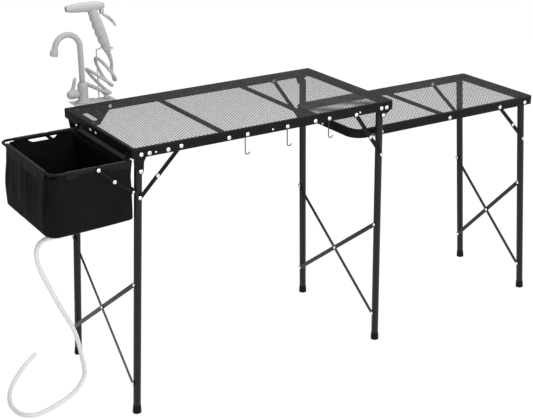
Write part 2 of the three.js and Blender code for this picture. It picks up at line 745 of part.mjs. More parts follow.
// Two flat bars that cross on the outer sides of a pair of legs, riveted where they meet.
function crossBrace(legs, axisPoint, lean) {
  const [front, back] = railSides(legs.deck);
  const outward = vec(-1, 0, 0);
  const face = -tube.radius - fitGap;
  const top = face - 2 * plate - fitGap;
  const point = (side, height, x) => {
    const at = axisPoint(side, (pivotHeightOf(legs) - height) / lean);
    at.x = x;
    return at;
  };
  const lift = face - plate - fitGap;
  const bars = [
    strap(point(front, brace.upper, face), point(back, brace.lower, face), outward, brace.width, plate),
    strap(point(front, brace.lower, lift), point(back, brace.upper, lift), outward, brace.width, plate),
  ];
  const middle = point(front, (brace.upper + brace.lower) / 2, top + weld);
  middle.y = (point(front, brace.upper, top).y + point(back, brace.upper, top).y) / 2;
  const low = face - plate + weld;
  const heads = [
    dome(point(front, brace.upper, low), outward),
    dome(point(back, brace.lower, low), outward),
    headedPin(point(front, brace.lower, top + weld), outward, face - top - weld, rivet.height),
    headedPin(point(back, brace.upper, top + weld), outward, face - top - weld, rivet.height),
    headedPin(middle, outward, plate + fitGap, rivet.height),
  ];
  return join(...bars, ...heads);
}

const left = legPair(table, leftLegs, leftStrut, 'left');
const right = legPair(table, rightLegs, rightStrut, 'right');
legPair(sideGroup, sideLegs, sideStrut, 'side');

// The flat tie bar behind the sink, with an ear and a pin at each end for the sink's struts
const sinkMiddle = (basin.front + basin.back) / 2;
const rimPoint = vec(basin.right - basinStrut.rimOut, 0, basin.height - basinStrut.rimDrop);
const kneePoint = vec(basin.right - basinStrut.kneeOut, 0, basin.height - basinStrut.kneeDrop);
const footPoint = vec(basin.right + basinStrut.footIn, 0, mainTop.height - tieBar.drop);
const strutPinRadius = pin.radius * 0.7;
const sinkLower = plate + fitGap;
const sinkUpper = sinkLower + linkPlate + fitGap;
const sinkHeads = sinkUpper + linkPlate + fitGap;

// A distance outside the sink's front wall, or behind its back wall
const outsideSink = (out, layer) => sinkMiddle + out * (sinkMiddle - basin.front + layer);

function tieBarShape() {
  const down = (tieBar.drop - leftLegs.pivotDrop) / left.lean;
  const face = -tube.radius - fitGap;
  const half = tieBar.width / 2;
  const rearEnd = left.axisPoint(mainBack, down).y + half;
  const body = block(face - plate, face, basin.front, rearEnd, -down - half, -down + half);
  const local = footPoint.clone().applyMatrix4(left.group.matrixWorld.clone().invert());
  const ears = [-1, 1].flatMap((out) => {
    const outer = outsideSink(out, 0);
    const inner = outer - out * plate;
    const head = vec(local.x, outsideSink(out, sinkUpper), local.z);
    return [
      block(
        local.x - half, face, Math.min(outer, inner), Math.max(outer, inner), -down - half, -down + half,
      ),
      headedPin(head, vec(0, out, 0), sinkUpper + plate / 2, linkPlate, strutPinRadius * 1.6, strutPinRadius),
    ];
  });
  const heads = [mainFront, mainBack].map((side) => {
    const at = left.axisPoint(side, down);
    return dome(vec(face - plate + weld, at.y, at.z), vec(-1, 0, 0));
  });
  return join(body, ...ears, ...heads);
}
node(left.group, 'left_tie_bar', tieBarShape(), 'blackPaint');

// Bolts on the right legs that the side table's rails hang on
function sideTableBolt(i) {
  const down = (pivotHeightOf(rightLegs) - boltHeight) / right.lean;
  const leg = [mainFront, mainBack][i];
  const rail = [sideFront, sideBack][i];
  const centre = right.axisPoint(leg, down);
  const start = vec(0, centre.y - leg.out * (tube.radius + fitGap), -down);
  const hookOuter = rail.face + rail.out * boltHook.stand;
  const through = hookOuter - rail.out * (plate + runGap);
  const inward = leg.outward.clone().negate();
  const reach = Math.abs(through - start.y);
  const collar = rod(start, vec(0, hookOuter + rail.out * runGap, -down), bolt.headRadius, sides.hole);
  return join(
    headedPin(vec(0, through, -down), inward, reach, bolt.headHeight, bolt.headRadius, bolt.radius), collar,
  );
}
node(right.group, 'side_table_bolt_front', sideTableBolt(0), 'nickel');
node(right.group, 'side_table_bolt_rear', sideTableBolt(1), 'nickel');

// Folding struts between the rails and the legs, opened at the knee
function foldingStrut(parent, strut, name) {
  const points = strutPoints(strut);
  railSides(strut.legs.deck).forEach((side, i) => {
    const place = ['front', 'rear'][i];
    const flat = (from, to, layer, holes) => {
      const y = side.face - side.out * (layer + (side.out < 0 ? 0 : linkPlate));
      return strap(vec(from.x, y, from.z), vec(to.x, y, to.z), alongY, link.width, linkPlate, holes);
    };
    const head = vec(points.knee.x, side.face - side.out * (upperLayer + weld), points.knee.z);
    const knee = headedPin(
      head, side.outward, lowerLayer - fitGap - upperLayer - weld, plate - fitGap, pin.headRadius,
    );
    const upper = join(flat(points.top, points.knee, upperLayer, [0]), knee);
    const lower = flat(points.leg, points.knee, lowerLayer, [0]);
    node(parent, `${name}_strut_upper_${place}`, upper, 'blackPaint');
    node(parent, `${name}_strut_lower_${place}`, lower, 'blackPaint');
  });
}
foldingStrut(table, leftStrut, 'left');
foldingStrut(table, rightStrut, 'right');
foldingStrut(sideGroup, sideStrut, 'side');

// Wire hooks that swing in holes of the front rail
const curlSteps = 6;
const curlShare = 0.95;

function wireHook(x) {
  const z = hookHeight;
  const outer = mainTop.front - hook.wire * 2;
  const inner = mainTop.front + sheet + fitGap;
  const low = z - hook.drop + hook.bend;
  const curl = [];
  for (let i = 0; i <= curlSteps; i += 1) {
    const angle = Math.PI + (i / curlSteps) * Math.PI * curlShare;
    curl.push(vec(x + hook.bend + hook.bend * Math.cos(angle), outer, low + hook.bend * Math.sin(angle)));
  }
  const start = bent([vec(x, inner + weld, z), vec(x, outer, z), vec(x, outer, low)], hook.wire * 2);
  const head = rod(vec(x, inner, z), vec(x, inner + rivet.flatHeight, z), hook.head, sides.hole);
  return join(sweep(start.slice(0, -1).concat(curl), hook.wire, sides.hook), head);
}
['hook_left', 'hook_middle', 'hook_right'].forEach((name, i) => {
  node(table, name, wireHook(hookShares[i] * mainTop.length), 'darkWire');
});

// Sink: a round rod rim on two clips, a soft bag under it, and its folding struts
const sinkGroup = new THREE.Group();
table.add(sinkGroup);
const drainX = basin.right - drain.out;
const rimFront = basin.front + basin.rod;
const rimBack = basin.back - basin.rod;
const rimLeft = basin.left + basin.rod;

function rim() {
  const z = basin.height;
  const around = bent([
    vec(basin.right, rimFront, z), vec(rimLeft, rimFront, z),
    vec(rimLeft, rimBack, z), vec(basin.right, rimBack, z),
  ], basin.cornerRadius);
  const shaft = rod(vec(basin.right, basin.front, z), vec(basin.right, basin.back, z), basin.rod, sides.rod);
  const lugs = [-1, 1].flatMap((out) => {
    const half = basinStrut.width / 2;
    const outer = outsideSink(out, sinkLower + linkPlate);
    const inner = outsideSink(out, -weld * 3);
    const [y0, y1] = [Math.min(outer, inner), Math.max(outer, inner)];
    const low = outsideSink(out, fitGap);
    const [z0, z1] = [Math.min(outer, low), Math.max(outer, low)];
    const head = vec(rimPoint.x, outsideSink(out, sinkHeads), rimPoint.z);
    return [
      block(rimPoint.x - half, rimPoint.x + half, y0, y1, z - basin.rod / 4, z + basin.rod / 2),
      block(rimPoint.x - half, rimPoint.x + half, z0, z1, rimPoint.z - half, z + basin.rod / 2),
      headedPin(
        head, vec(0, out, 0), sinkHeads - sinkLower, rivet.height / 2, pin.headRadius, strutPinRadius,
      ),
    ];
  });
  return join(sweep(around, basin.rod, sides.hole), shaft, ...lugs);
}
node(sinkGroup, 'basin_rim', rim(), 'blackPaint');

const bagTop = basin.height - basin.rod - fitGap;
const bagBottom = bagTop - basin.depth + basin.rod;

// Narrows a solid from front to back towards its bottom, and lets its ends flare out a little.
function tapered(geometry, centreX, centreY) {
  const at = geometry.attributes.position;
  for (let i = 0; i < at.count; i += 1) {
    const down = Math.min(Math.max((bagTop - at.getZ(i)) / (bagTop - bagBottom), 0), 1);
    const shareX = 1 - down * (1 - basin.flareShare);
    const shareY = 1 - down * (1 - basin.floorShare);
    at.setX(i, centreX + (at.getX(i) - centreX) * shareX);
    at.setY(i, centreY + (at.getY(i) - centreY) * shareY);
  }
  return geometry;
}

function bag() {
  const x1 = basin.right - basin.clearOfClips;
  const shellPart = (inset, z0, z1) => prism(roundedOutline(
    basin.left + inset, x1 - inset, basin.front + inset, basin.back - inset,
    basin.cornerRadius - inset, basin.hingeRadius - inset,
  ), z1 - z0).translate(0, 0, z0);
  const outer = shellPart(0, bagBottom, bagTop);
  const inner = shellPart(basin.wall, bagBottom + basin.wall, bagTop + overrun);
  const centreX = (basin.left + x1) / 2;
  const shell = cut(tapered(outer, centreX, sinkMiddle), tapered(inner, centreX, sinkMiddle));
  const hole = rod(
    vec(drainX, sinkMiddle, bagBottom - overrun), vec(drainX, sinkMiddle, bagBottom + overrun),
    drain.neck + runGap, sides.turned,
  );
  return cut(shell, hole);
}
node(sinkGroup, 'basin_bag', bag(), 'pvc');

const drainTop = bagBottom + basin.wall + fitGap;
const drainLow = bagBottom - fitGap - drain.lip - drain.pipeLength;
node(sinkGroup, 'basin_drain', turned([
  [drain.bore, drainLow], [drain.pipe, drainLow], [drain.pipe, drainLow + drain.pipeLength],
  [drain.flange, drainLow + drain.pipeLength], [drain.flange, bagBottom - fitGap],
  [drain.neck, bagBottom - fitGap], [drain.neck, drainTop], [drain.flange, drainTop],
  [drain.flange, drainTop + drain.lip], [drain.bore, drainTop + drain.lip], [drain.bore, drainLow],
], sides.turned).translate(drainX, sinkMiddle, 0), 'rubber');

// The sink's struts lie in front of its front wall and behind its back wall.
function sinkLink(from, to, out, layer) {
  const y = Math.min(outsideSink(out, layer), outsideSink(out, layer + linkPlate));
  return strap(vec(from.x, y, from.z), vec(to.x, y, to.z), alongY, basinStrut.width, linkPlate, [0]);
}
[-1, 1].forEach((out) => {
  const place = out < 0 ? 'front' : 'rear';
  const head = vec(kneePoint.x, outsideSink(out, sinkUpper + linkPlate - weld), kneePoint.z);
  const knee = dome(head, vec(0, out, 0), pin.headRadius, rivet.height / 2);
  node(sinkGroup, `basin_strut_upper_${place}`, join(sinkLink(rimPoint, kneePoint, out, sinkUpper), knee),
    'blackPaint');
  node(sinkGroup, `basin_strut_lower_${place}`, sinkLink(footPoint, kneePoint, out, sinkLower), 'blackPaint');
});

// Drain hose: it drops from the drain, leans back under the sink and lies along the floor.
const drainHosePoints = [
  [-115, 192, 555], [-115, 192, 541], [-120, 193, 529], [-135, 195, 519], [-160, 199, 516], [-184, 202, 514],
  [-203, 204, 503], [-212, 207, 480], [-208, 212, 440], [-195, 219, 400], [-174, 231, 352],
  [-150, 246, 298], [-124, 263, 244], [-99, 282, 196], [-79, 299, 150], [-64, 314, 98],
  [-54, 325, 52], [-50, 322, 20], [-60, 296, 7], [-79, 266, 7], [-102, 238, 7], [-132, 210, 7],
  [-168, 186, 7], [-208, 167, 7], [-250, 153, 7], [-284, 153, 7], [-306, 172, 7], [-316, 204, 7],
  [-315, 244, 7], [-303, 288, 7], [-280, 334, 7], [-252, 376, 7], [-221, 416, 7], [-186, 454, 7],
  [-143, 495, 7],
];

function freeHose(points, radius, count, steps, startAt) {
  const route = points.map(([x, y, z]) => vec(x, y, z));
  route[0].copy(startAt);
  const curve = new THREE.CatmullRomCurve3(route, false, 'centripetal');
  const section = new THREE.Shape(circle(radius, count));
  return new THREE.ExtrudeGeometry(section, { steps, extrudePath: curve, bevelEnabled: false });
}
node(table, 'drain_hose', freeHose(
  drainHosePoints, drainHose.radius, sides.hose, drainHose.steps,
  vec(drainX, sinkMiddle, drainLow - fitGap),
), 'paleHose');

// Tap: body on the shelf, a spout that swivels on it, and a side lever
const tapBase = tapShelfTop + fitGap;
const tapTop = tapBase + tap.baseHeight + tap.bodyHeight - lever.bladeThickness;
node(table, 'tap_body', turned([
  [0, tapBase], [tap.baseRadius, tapBase], [tap.baseRadius, tapBase + tap.baseHeight],
  [tap.bodyRadius, tapBase + tap.baseHeight], [tap.bodyRadius, tapTop - lever.bladeThickness],
  [tap.bodyRadius * tap.topShare, tapTop], [0, tapTop],
], sides.turned).translate(tap.x, tapY, 0), 'greyPlastic');

function spout() {
  const low = tapTop + fitGap;
  const high = low + tap.rise;
  const path = [vec(tap.x, tapY, low)];
  for (let i = 0; i <= archSteps; i += 1) {
    const angle = (i / archSteps) * Math.PI;
    path.push(vec(
      tap.x - tap.arch + tap.arch * Math.cos(angle), tapY, high + tap.arch * Math.sin(angle),
    ));
  }
  path.push(vec(tap.x - 2 * tap.arch, tapY, high - tap.tip));
  return sweep(path, tap.spoutRadius, sides.spout);
}
node(table, 'tap_spout', spout(), 'greyPlastic');

function aerator() {
  const top = tapTop + tap.rise - tap.tip;
  return rod(
    vec(tap.x - 2 * tap.arch, tapY, top), vec(tap.x - 2 * tap.arch, tapY, top - tap.aeratorLength),
    tap.aeratorRadius, sides.rod,
  );
}
node(table, 'tap_aerator', aerator(), 'greyPlastic');

function tapLever() {
  const z = tapBase + lever.up;
  const hubStart = vec(tap.x - tap.bodyRadius - fitGap, tapY, z);
  const hubEnd = hubStart.clone().add(vec(-lever.hubLength, 0, 0));
  const hub = rod(hubStart, hubEnd, lever.hubRadius, sides.rod);
  const middle = (hubStart.x + hubEnd.x) / 2;
  const blade = block(
    middle - lever.bladeThickness / 2, middle + lever.bladeThickness / 2,
    tapY - lever.bladeWidth / 2, tapY + lever.bladeWidth / 2, z, z + lever.bladeHeight,
  );
  return join(hub, blade);
}
node(table, 'tap_lever', tapLever(), 'greyPlastic');

// Sprayer: handle and head, a trigger between two ears, and its coiled hose on a wire stand
function barrel(radius, shares, length) {
  const rows = shares.map((share, i) => [radius * share, (i / (shares.length - 1)) * length]);
  return turned([[0, 0], ...rows, [0, length]], sides.rod);
}

const upFromShelf = (x, up) => vec(x, tapY, tapShelfTop + up);

function sprayerBody() {
  const low = upFromShelf(sprayer.endX, sprayer.endUp);
  const neck = upFromShelf(sprayer.neckX, sprayer.neckUp);
  const along = neck.clone().sub(low);
  const grip = aimed(barrel(sprayer.handleRadius, handleShares, along.length()), low, along);
  const nose = upFromShelf(sprayer.noseX, sprayer.headUp);
  const headLength = sprayer.tailX - sprayer.noseX;
  const head = aimed(barrel(sprayer.headRadius, headShares, headLength), nose, vec(1, 0, 0));
  const ear = upFromShelf(sprayer.earX, sprayer.earUp);
  const ears = [-1, 1].map((out) => {
    const inner = tapY + (out * sprayer.earGap) / 2;
    const outer = inner + out * sprayer.ear;
    return block(
      ear.x - sprayer.earRadius, ear.x + sprayer.earRadius,
      Math.min(inner, outer), Math.max(inner, outer),
      ear.z - sprayer.earRadius, nose.z,
    );
  });
  return join(grip, head, ...ears);
}
node(table, 'sprayer_body', sprayerBody(), 'greyPlastic');

function triggerBlade() {
  const pivot = upFromShelf(sprayer.earX, sprayer.earUp);
  const outer = triggerShares.map(([alongShare, downShare]) => (
    new THREE.Vector2(pivot.x + alongShare * trigger.reach, pivot.z - downShare * trigger.drop)
  ));
  const inner = outer.map((each) => new THREE.Vector2(each.x - trigger.slant, each.y - trigger.thickness));
  const outline = new THREE.Shape([...outer, ...inner.reverse()]);
  const flat = prism(outline, trigger.width).rotateX(Math.PI / 2);
  return flat.translate(0, tapY + trigger.width / 2, 0);
}
node(table, 'sprayer_trigger', triggerBlade(), 'greyPlastic');

// Ends of the sprayer hose's half turns, left and right in turn, as seen from the front
const loopEnds = [
  [96, 512, 847], [159, 490, 818], [104, 512, 891], [167, 490, 839], [136, 512, 921], [178, 490, 854],
];
const sprayHoseFoot = [
  [151, 490, 801], [150, 491, 809], [146, 499, 817], [135, 512, 826], [118, 521, 836], [103, 521, 844],
];
const sprayHoseRise = [[178, 508, 880], [174, 498, 905], [168.5, 490, 922], [166.5, 490, 933]];

function sprayHoseRoute() {
  const points = sprayHoseFoot.map(([x, y, z]) => vec(x, y, z));
  const half = sprayHose.stepsPerLoop / 2;
  for (let k = 0; k < loopEnds.length - 1; k += 1) {
    const [x0, y0, z0] = loopEnds[k];
    const [x1, y1, z1] = loopEnds[k + 1];
    const back = k % 2 === 0 ? -1 : 1;
    for (let i = k === 0 ? 0 : 1; i <= half; i += 1) {
      const share = (1 - Math.cos((i / half) * Math.PI)) / 2;
      points.push(vec(
        x0 + (x1 - x0) * share,
        y0 + (y1 - y0) * share + back * sprayHose.depth * Math.sin((i / half) * Math.PI),
        z0 + (z1 - z0) * share,
      ));
    }
  }
  points.push(...sprayHoseRise.map(([x, y, z]) => vec(x, y, z)));
  return points;
}

node(table, 'sprayer_hose', sweep(sprayHoseRoute(), sprayHose.radius, sprayHose.sides), 'greyPlastic');

const ringStartShare = 0.95;
const ringSweepShare = 1.7;

function standWire() {
  const y = tapY + stand.behindTap;
  const centre = upFromShelf(stand.ringX, stand.ringUp);
  const points = bent([
    vec(stand.x, y, tapShelfTop + fitGap), vec(stand.x, y, centre.z),
    vec(stand.x + stand.wire, y - stand.wire, centre.z),
  ], stand.wire);
  for (let i = 0; i <= ringSteps; i += 1) {
    const angle = Math.PI * (ringStartShare - ringSweepShare * (i / ringSteps));
    points.push(centre.clone().add(vec(
      stand.ringRadius * Math.cos(angle), stand.ringRadius * Math.sin(angle), 0,
    )));
  }
  return sweep(points, stand.wire, sides.wire);
}
node(table, 'sprayer_stand', standWire(), 'greyPlastic');

// The finished origin: the middle of the footprint, on the floor, without the hoses.
const cords = ['drain_hose', 'sprayer_hose'];
table.updateMatrixWorld(true);
const extent = new THREE.Box3();
table.traverse((each) => {
  if (each.isMesh && !cords.includes(each.name)) extent.expandByObject(each, true);
});
const middle = extent.getCenter(vec(0, 0, 0));
table.position.set(-middle.x, -middle.y, -extent.min.z);

export default table;
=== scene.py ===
import math

import bmesh
import bpy
from mathutils import Matrix, Vector, noise


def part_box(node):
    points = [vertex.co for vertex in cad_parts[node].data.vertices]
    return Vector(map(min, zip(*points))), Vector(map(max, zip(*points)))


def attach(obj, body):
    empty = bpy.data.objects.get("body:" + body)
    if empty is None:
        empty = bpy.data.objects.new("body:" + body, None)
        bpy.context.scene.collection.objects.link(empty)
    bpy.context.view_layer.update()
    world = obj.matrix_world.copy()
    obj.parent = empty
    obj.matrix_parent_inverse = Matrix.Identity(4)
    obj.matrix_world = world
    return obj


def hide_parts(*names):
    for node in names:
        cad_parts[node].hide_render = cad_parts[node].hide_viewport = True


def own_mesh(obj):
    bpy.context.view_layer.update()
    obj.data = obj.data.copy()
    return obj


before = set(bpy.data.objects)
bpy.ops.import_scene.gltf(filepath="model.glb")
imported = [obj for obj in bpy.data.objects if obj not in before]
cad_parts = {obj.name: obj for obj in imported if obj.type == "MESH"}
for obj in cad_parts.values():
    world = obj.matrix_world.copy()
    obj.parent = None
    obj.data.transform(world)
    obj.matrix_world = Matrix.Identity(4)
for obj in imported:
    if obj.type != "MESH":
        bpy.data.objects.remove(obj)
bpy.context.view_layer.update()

# Sizes below are in millimetres from the main table's front left corner on the floor.
# at() turns them into metres in the frame's own axes.
mm = 0.001
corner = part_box("main_mesh")[0].copy()
corner.z = 0
toRight, toBack, upward = Vector((1, 0, 0)), Vector((0, 1, 0)), Vector((0, 0, 1))


def at(x, y, z):
    return corner + Vector((x, y, z)) * mm


# left and right are the radii of the corners at those ends
decks = {
    "main": dict(start=0, end=865, front=0, back=462, height=800, left=4, right=9),
    "side": dict(start=760, end=1484, front=50, back=398, height=707, left=45, right=10),
}
sides = [dict(key="front", out=-1), dict(key="back", out=1)]


def faceOf(deck, side):
    return deck[side["key"]]


def linear(code):
    channels = [((code >> shift) & 255) / 255 for shift in (16, 8, 0)]
    return tuple(c / 12.92 if c <= 0.04045 else ((c + 0.055) / 1.055) ** 2.4 for c in channels) + (1.0,)


def addNode(tree, kind, settings=None, links=None):
    made = tree.nodes.new(kind)
    for name, value in (settings or {}).items():
        if isinstance(name, int) or name in made.inputs:
            made.inputs[name].default_value = value
        else:
            setattr(made, name, value)
    for name, source in (links or {}).items():
        tree.links.new(source, made.inputs[name])
    return made


def newMaterial(name):
    material = bpy.data.materials.new(name)
    material.use_nodes = True
    material.node_tree.nodes.clear()
    return material, material.node_tree


def toneAndRough(tree, look):
    # Broad, slow change of tone and gloss over the piece.
    place = addNode(tree, "ShaderNodeTexCoord").outputs["Object"]
    cloud = addNode(
        tree, "ShaderNodeTexNoise", {"Scale": 1000 / look["patch"], "Detail": look.get("detail", 3.0)},
        {"Vector": place},
    ).outputs["Fac"]
    tone = addNode(
        tree, "ShaderNodeMix",
        {"data_type": "RGBA", 6: linear(look["color"]), 7: linear(look["worn"])}, {0: cloud},
    )
    rough = addNode(
        tree, "ShaderNodeMapRange",
        {
            "From Min": 0.3, "From Max": 0.7,
            "To Min": look["rough"] - look["spread"], "To Max": look["rough"] + look["spread"],
        },
        {"Value": cloud},
    )
    return place, tone.outputs[2], rough.outputs[0]


def closeMaterial(tree, sockets, tone, rough, bump):
    shader = addNode(
        tree, "ShaderNodeBsdfPrincipled", sockets,
        {"Base Color": tone, "Roughness": rough, "Normal": bump.outputs[0]},
    )
    addNode(tree, "ShaderNodeOutputMaterial", links={"Surface": shader.outputs[0]})


# patch, grain and depth are in millimetres; slot is the part's own name for the finish.
looks = {
    # Steel with a sprayed and baked powder coat: deep satin black with a faint orange peel.
    "powderCoatedSteel": dict(
        slot="black_paint", color=0x0d0d0f, worn=0x131315, patch=60, rough=0.36, spread=0.05,
        grain=1.6, relief=0.2, depth=0.12, sockets={"Specular IOR Level": 0.12},
    ),
    # The same coat on drawn tubes and flat braces: smoother, with a little more sheen.
    "powderCoatedTube": dict(
        slot="black_paint", color=0x0d0d0f, worn=0x131315, patch=60, rough=0.32, spread=0.05,
        grain=1.6, relief=0.12, depth=0.08, sockets={"Specular IOR Level": 0.3},
    ),
    # The same black coat on the wires of the tops, drawn dark grey instead of black: a painted sheen for the
    # light that the thin wires catch.
    "meshWirePaintedSheen": dict(
        slot="mesh_paint", color=0x2c2c2f, worn=0x3a3a3d, patch=30, rough=0.42, spread=0.06,
        grain=1.2, relief=0.15, depth=0.08, sockets={"Specular IOR Level": 0.45},
    ),
    # Steel with a bright nickel plate, headed cold: clear highlights and fine handling marks.
    "nickelPlatedSteel": dict(
        slot="nickel", color=0xf2f1ee, worn=0xe3e1dc, patch=5, rough=0.24, spread=0.04,
        grain=0.8, relief=0.05, depth=0.03, sockets={"Metallic": 1.0},
    ),
    # Moulded rubber of the feet and the drain fitting: matte black that greys where it is handled.
    "mouldedRubber": dict(
        slot="rubber", color=0x0c0c0d, worn=0x151516, patch=18, rough=0.55, spread=0.06,
        grain=0.9, relief=0.2, depth=0.1, sockets={"Specular IOR Level": 0.1},
    ),
    # Drawn spring wire with a thin dark dip coat: the hooks' soft sheen.
    "dippedWire": dict(
        slot="dark_wire", color=0x1c1c1f, worn=0x2c2c2f, patch=12, rough=0.34, spread=0.05,
        grain=1.0, relief=0.12, depth=0.04, sockets={"Specular IOR Level": 0.3},
    ),
    # Injection-moulded ABS in pale grey, lightly spark-textured: even and soft.
    "mouldedABS": dict(
        slot="grey_plastic", color=0xb6b6b6, worn=0xb0b0b0, patch=40, rough=0.5, spread=0.04,
        grain=1.4, relief=0.03, depth=0.01, sockets={},
    ),
    # Extruded soft PVC of the drain hose: pale, smooth and a little cloudy.
    "extrudedVinyl": dict(
        slot="pale_hose", color=0xe4e4e4, worn=0xdcdcdc, patch=25, rough=0.42, spread=0.05,
        grain=2.0, relief=0.03, depth=0.01, sockets={},
    ),
}
materials, slots = {}, {}
for name, look in looks.items():
    materials[name], tree = newMaterial(name)
    slots[name] = look["slot"]
    place, tone, rough = toneAndRough(tree, look)
    grain = addNode(
        tree, "ShaderNodeTexNoise", {"Scale": 1000 / look["grain"], "Detail": 2.0}, {"Vector": place},
    )
    bump = addNode(
        tree, "ShaderNodeBump", {"Strength": look["relief"], "Distance": look["depth"] * mm},
        {"Height": grain.outputs["Fac"]},
    )
    closeMaterial(tree, look["sockets"], tone, rough, bump)

# Woven polyester calendered with PVC: glossy near-black, the weave just showing through, soft creases.
# The real threads lie 0.5 mm apart; they are drawn about 3 mm apart, or they wouldn't show.
cloth = dict(
    slot="pvc", color=0x0f0f11, worn=0x18181b, patch=70, detail=4.0, rough=0.26, spread=0.06,
    weave=2.7634, weaveRelief=0.12, weaveDepth=0.08, crease=42, creaseRelief=0.5, creaseDepth=2.4,
)
# The hem is stretched over the rod, where the coat is smooth and shines more.
clothShine = {"calenderedCloth": 0.04, "stretchedCloth": 0.13}
for name, shine in clothShine.items():
    materials[name], tree = newMaterial(name)
    slots[name] = cloth["slot"]
    place, tone, rough = toneAndRough(tree, cloth)
    # a wave texture repeats every pi / 10 of its unit
    threads = [
        addNode(
            tree, "ShaderNodeTexWave",
            {
                "wave_type": "BANDS", "bands_direction": way, "Distortion": 0.4,
                "Scale": 100 * math.pi / cloth["weave"],
            },
            {"Vector": place},
        ).outputs["Fac"]
        for way in ("DIAGONAL", "Z")
    ]
    weave = addNode(tree, "ShaderNodeMath", {"operation": "ADD"}, {0: threads[0], 1: threads[1]})
    fine = addNode(
        tree, "ShaderNodeBump", {"Strength": cloth["weaveRelief"], "Distance": cloth["weaveDepth"] * mm},
        {"Height": weave.outputs[0]},
    )
    crease = addNode(
        tree, "ShaderNodeTexNoise", {"Scale": 1000 / cloth["crease"], "Detail": 3.0, "Distortion": 0.6},
        {"Vector": place},
    )
    broad = addNode(
        tree, "ShaderNodeBump", {"Strength": cloth["creaseRelief"], "Distance": cloth["creaseDepth"] * mm},
        {"Height": crease.outputs["Fac"], "Normal": fine.outputs[0]},
    )
    closeMaterial(tree, {"Specular IOR Level": shine}, tone, rough, broad)
print("materials are ready")


# Set back, a little above, and looking along the tables from the sink's side.
camera = dict(x=-1244.4, y=-2694.9, z=1777.9, azimuth=-31.612, elevation=21.341, roll=-0.403, lens=79.48)


def makeCamera():
    data = bpy.data.cameras.new("camera")
    data.sensor_fit = "HORIZONTAL"
    data.sensor_width = 36
    data.lens = camera["lens"]
    data.clip_start = 0.05
    data.clip_end = 100
    seen = bpy.data.objects.new("camera", data)
    bpy.context.scene.collection.objects.link(seen)
    turn, rise, roll = (math.radians(camera[k]) for k in ("azimuth", "elevation", "roll"))
    back = Vector((math.sin(turn) * math.cos(rise), -math.cos(turn) * math.cos(rise), math.sin(rise)))
    right = upward.cross(back).normalized()
    up = back.cross(right)
    right, up = right * math.cos(roll) + up * math.sin(roll), up * math.cos(roll) - right * math.sin(roll)
    basis = Matrix((right, up, back)).transposed()
    seen.matrix_world = Matrix.Translation(at(camera["x"], camera["y"], camera["z"])) @ basis.to_4x4()
    bpy.context.scene.camera = seen


makeCamera()


def newPiece(bm, name, material, body, stands=(), sharp=35):
    bmesh.ops.remove_doubles(bm, verts=bm.verts, dist=0.00001)
    bmesh.ops.recalc_face_normals(bm, faces=bm.faces)
    mesh = bpy.data.meshes.new(name)
    bm.to_mesh(mesh)
    bm.free()
    mesh.materials.append(materials[material])
    mesh.shade_smooth()
    mesh.set_sharp_from_angle(angle=math.radians(sharp))
    piece = bpy.data.objects.new(name, mesh)
    bpy.context.scene.collection.objects.link(piece)
    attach(piece, body)
    if stands:
        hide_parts(*stands)
    return piece


def arc(x, z, radius, start, end, steps):
    # Points of an arc in a plane, between two angles in degrees.
    turns = (math.radians(start + (end - start) * k / steps) for k in range(steps + 1))
    return [(x + radius * math.cos(a), z + radius * math.sin(a)) for a in turns]


def circle(centre, u, v, radius, count):
    # Points of a circle in metres, its radius in millimetres.
    turns = (2 * math.pi * i / count for i in range(count))
    return [centre + (u * math.cos(a) + v * math.sin(a)) * (radius * mm) for a in turns]


def acrossOf(direction):
    first = direction.orthogonal().normalized()
    return first, direction.cross(first).normalized()


def addRings(bm, rings, capped=True):
    # Skins a list of closed rings of points in metres; a ring of one point is a pole.
    rows = [[bm.verts.new(p) for p in ring] for ring in rings]
    for a, b in zip(rows, rows[1:]):
        count = max(len(a), len(b))
        for i in range(count):
            j = (i + 1) % count
            if len(a) == 1:
                bm.faces.new((a[0], b[i], b[j]))
            elif len(b) == 1:
                bm.faces.new((a[i], b[0], a[j]))
            else:
                bm.faces.new((a[i], b[i], b[j], a[j]))
    for row in (rows[0], rows[-1]) if capped else ():
        if len(row) > 2:
            bm.faces.new(row)


def addTurned(bm, profile, origin, direction, count=24, closed=False):
    # A solid of revolution: profile in millimetres as (radius, height) from origin along direction.
    direction = direction.normalized()
    u, v = acrossOf(direction)
    rings = []
    for radius, height in profile:
        centre = origin + direction * (height * mm)
        rings.append(circle(centre, u, v, radius, count) if radius > 0 else [centre])
    if closed:
        rings.append(rings[0])
    addRings(bm, rings, capped=not closed)


def addPin(bm, origin, direction, radius, length, count=16):
    addTurned(bm, [(0, 0), (radius, 0), (radius, length), (0, length)], origin, direction, count)


def addTube(bm, points, radius, count=12):
    # A round wire or tube along points in metres, with its frame carried along without twist.
    # The radius is one number, or a list with one for each point.
    sizes = radius if isinstance(radius, list) else [radius] * len(points)
    last = len(points) - 1
    ways = [(points[min(i + 1, last)] - points[max(i - 1, 0)]).normalized() for i in range(last + 1)]
    u, _ = acrossOf(ways[0])
    rings = []
    for point, way, size in zip(points, ways, sizes):
        u = (u - way * u.dot(way)).normalized()
        rings.append(circle(point, u, way.cross(u), size, count))
    addRings(bm, rings)


def addPlate(bm, outline, normal, thickness, edge=0.3):
    # A flat convex plate with its edges broken: outline in metres in one plane, thickness along normal.
    normal = normal.normalized()
    middle = sum(outline, Vector()) / len(outline)
    inner = []
    for i, point in enumerate(outline):
        before = (point - outline[i - 1]).normalized()
        after = (outline[(i + 1) % len(outline)] - point).normalized()
        inward = normal.cross(before) + normal.cross(after)
        if inward.length < 1e-6:
            inward = middle - point
        inward.normalize()
        if inward.dot(middle - point) < 0:
            inward.negate()
        inner.append(point + inward * (edge * mm))
    lift = normal * (thickness * mm)
    soft = normal * (edge * mm)
    addRings(bm, [
        inner, [p + soft for p in outline], [p + lift - soft for p in outline], [p + lift for p in inner],
    ])


